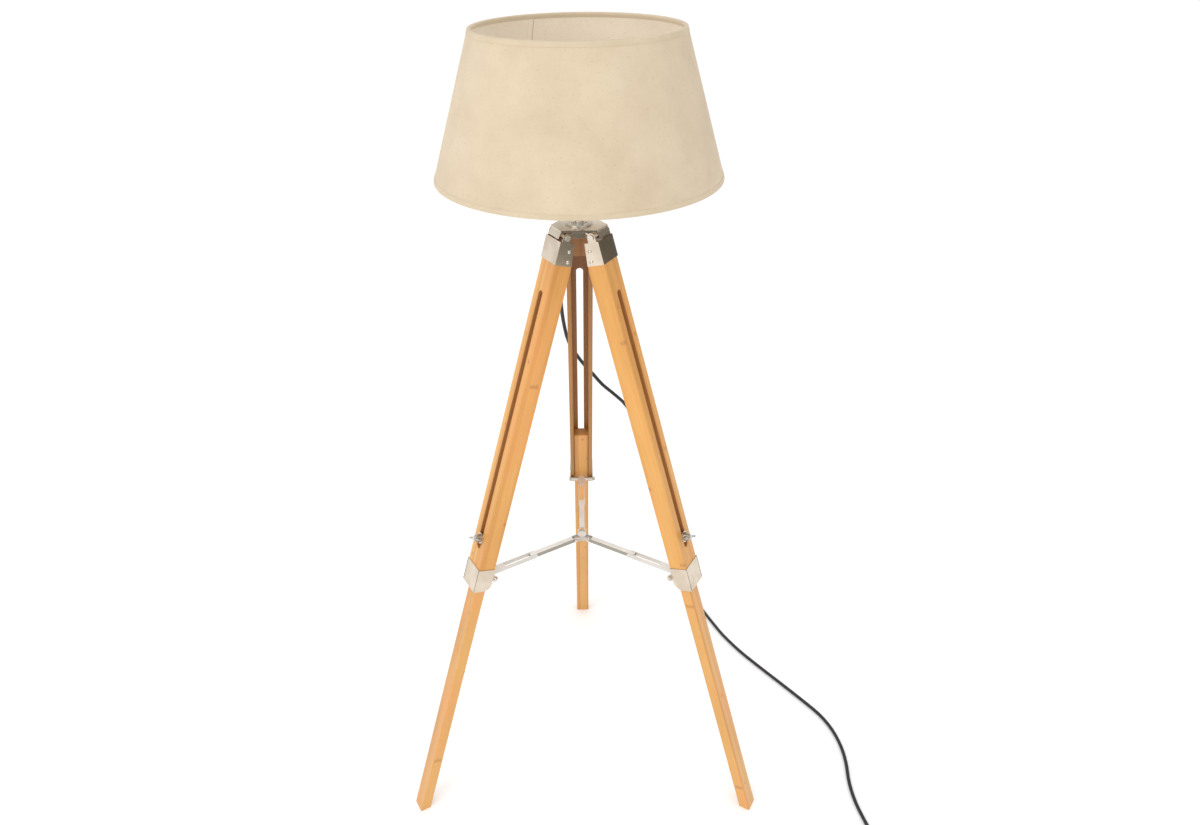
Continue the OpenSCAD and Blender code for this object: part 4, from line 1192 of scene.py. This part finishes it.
def plug():
    """The flat plug: moulded body with a neck, grip ridges and the sleeves of its two pins."""
    side = [(5.5, 0, 1.5), (7.5, 10, 8), (17.5, 24, 8), (17.5, 36, 2)]
    outline = round_outline([(-5.5, 0, 1.5)] + side + [(-x, y, r) for x, y, r in side[:0:-1]])
    sleeve = turned([(0, 0), (1.9, 0), (1.9, 8.8), (1.7, 9.0), (0, 9.0)], 32)
    pin = turned([(0, 0), (1.75, 0), (1.75, 9.0), (2.0, 9.3), (2.0, 17.6), (1.85, 18.3), (1.3, 18.9),
                  (0, 19)], 32)
    at_pins = [AT_PLUG @ shift_by(x, 36, 0) @ turn_by(-90, "X") for x in (-9.5, 9.5)]
    ridges, neck = (AT_PLUG @ (Vector((0, y, PLUG_Z - 0.1)) * MM) for y in (29, 5))
    shapes = [(crowned_solid(outline, soft_layers(PLUG_Z, 2.6, 0.0)), AT_PLUG),
              ridges_at(ridges, 180, 5, 2.1, 1.1, 18.0), ridges_at(neck, 180, 4, 2.2, 1.0, 7.0)]
    body = joined("plug_body_finish", shapes + [(sleeve, place) for place in at_pins])
    pins = joined("plug_pins_finish", [(pin, place) for place in at_pins], 40)
    return (fitted(body, fitting_black, "plug_body"),
            fitted(pins, pin_metal, "plug_pins"))


def coil_tie():
    """A strap round the coil's bundle of turns."""
    middle_r, half, thick, wide = (COIL_OUT + COIL_IN) / 2, CORD_D + 0.35, 0.7, 8.0
    outline = round_box(half, half, 3.2, 8, middle_r)
    points = []
    for y, grow in ((-wide / 2, 0), (-wide / 2, thick), (wide / 2, thick), (wide / 2, 0)):
        for x, z in outline:
            away = Vector((x - middle_r, z)).normalized() * grow
            points.append((x + away.x, y, max(0.05, z + away.y + CORD_D)))
    strap = points, ring_faces(4, len(outline))
    piece = joined("cord_tie", [(strap, at_lamp(*COIL_AT, 0) @ turn_by(215, "Z"))], 50)
    fitted(piece, fitting_black)


strain_relief()
carried = [cord_switch(), switch_rocker(), *plug()]
coil_tie()
cord.data.materials.append(sheath_black)

# ---- floor and light ----

FLOOR_HALF, FLOOR_Z = 40, -0.0003
FLOOR_TONES = (0.91, 0.91, 0.91, 1), (0.93, 0.93, 0.93, 1)


def stage_card(name, points, paint, shader, colour):
    feed(shader, {"Base Color": colour})
    card = add_piece(name, mesh_of(name, points, [[0, 1, 2, 3]]))
    card.data.materials.append(paint)
    return card


def soft_light(name, place, towards, size, watts):
    data = bpy.data.lights.new(name, "AREA")
    data.shape = "SQUARE"
    data.size = size
    data.energy = watts
    aim = (Vector(towards) - Vector(place)).to_track_quat("-Z", "Y").to_matrix().to_4x4()
    add_piece(name, data).matrix_world = Matrix.Translation(place) @ aim


def dark_card(name, across, down, place, tone):
    """A dark card, banded with light, that only shows as a reflection on the fittings."""
    paint, shader, spot = new_material(name, Roughness=0.9)
    bands = spot.noise(1.0, 1.0, stretch=(13.0, 13.0, 0.9)).remap(0.42, 0.6)
    colour = bands.blend((tone, tone * 0.95, tone * 0.8, 1), (tone * 12, tone * 11, tone * 9, 1))
    a, d, p = Vector(across) / 2, Vector(down) / 2, Vector(place)
    card = stage_card(name, [p - a - d, p + a - d, p + a + d, p - a + d], paint, shader, colour)
    card.visible_camera = card.visible_shadow = card.visible_diffuse = False


floor_paint, shader, spot = new_material("floor_white", Roughness=0.75, Emission_Strength=0.1)
corners = [(x * FLOOR_HALF, y * FLOOR_HALF, FLOOR_Z) for x, y in ((-1, -1), (1, -1), (1, 1), (-1, 1))]
stage_card("floor", corners, floor_paint, shader, spot.noise(3.0, 3.0).blend(*FLOOR_TONES))
world = bpy.data.worlds.new("studio")
world.use_nodes = True
world.node_tree.nodes["Background"].inputs[0].default_value = (1, 1, 1, 1)
world.node_tree.nodes["Background"].inputs[1].default_value = 1.0
scene.world = world
scene.view_settings.view_transform = "Standard"
soft_light("key", (-1.9, -2.3, 2.7), (0, 0, 0.9), 2.2, 32)
soft_light("fill", (1.6, -2.6, 2.2), (0, 0, 0.8), 2.5, 8)
dark_card("side card", (0, 2.2, 0), (0, 0, 1.25), (1.5, -0.2, 0.98), 0.032)
dark_card("front card", (0.7, 0, 0), (0, 0, 0.8), (0.0, -1.95, 0.5), 0.035)
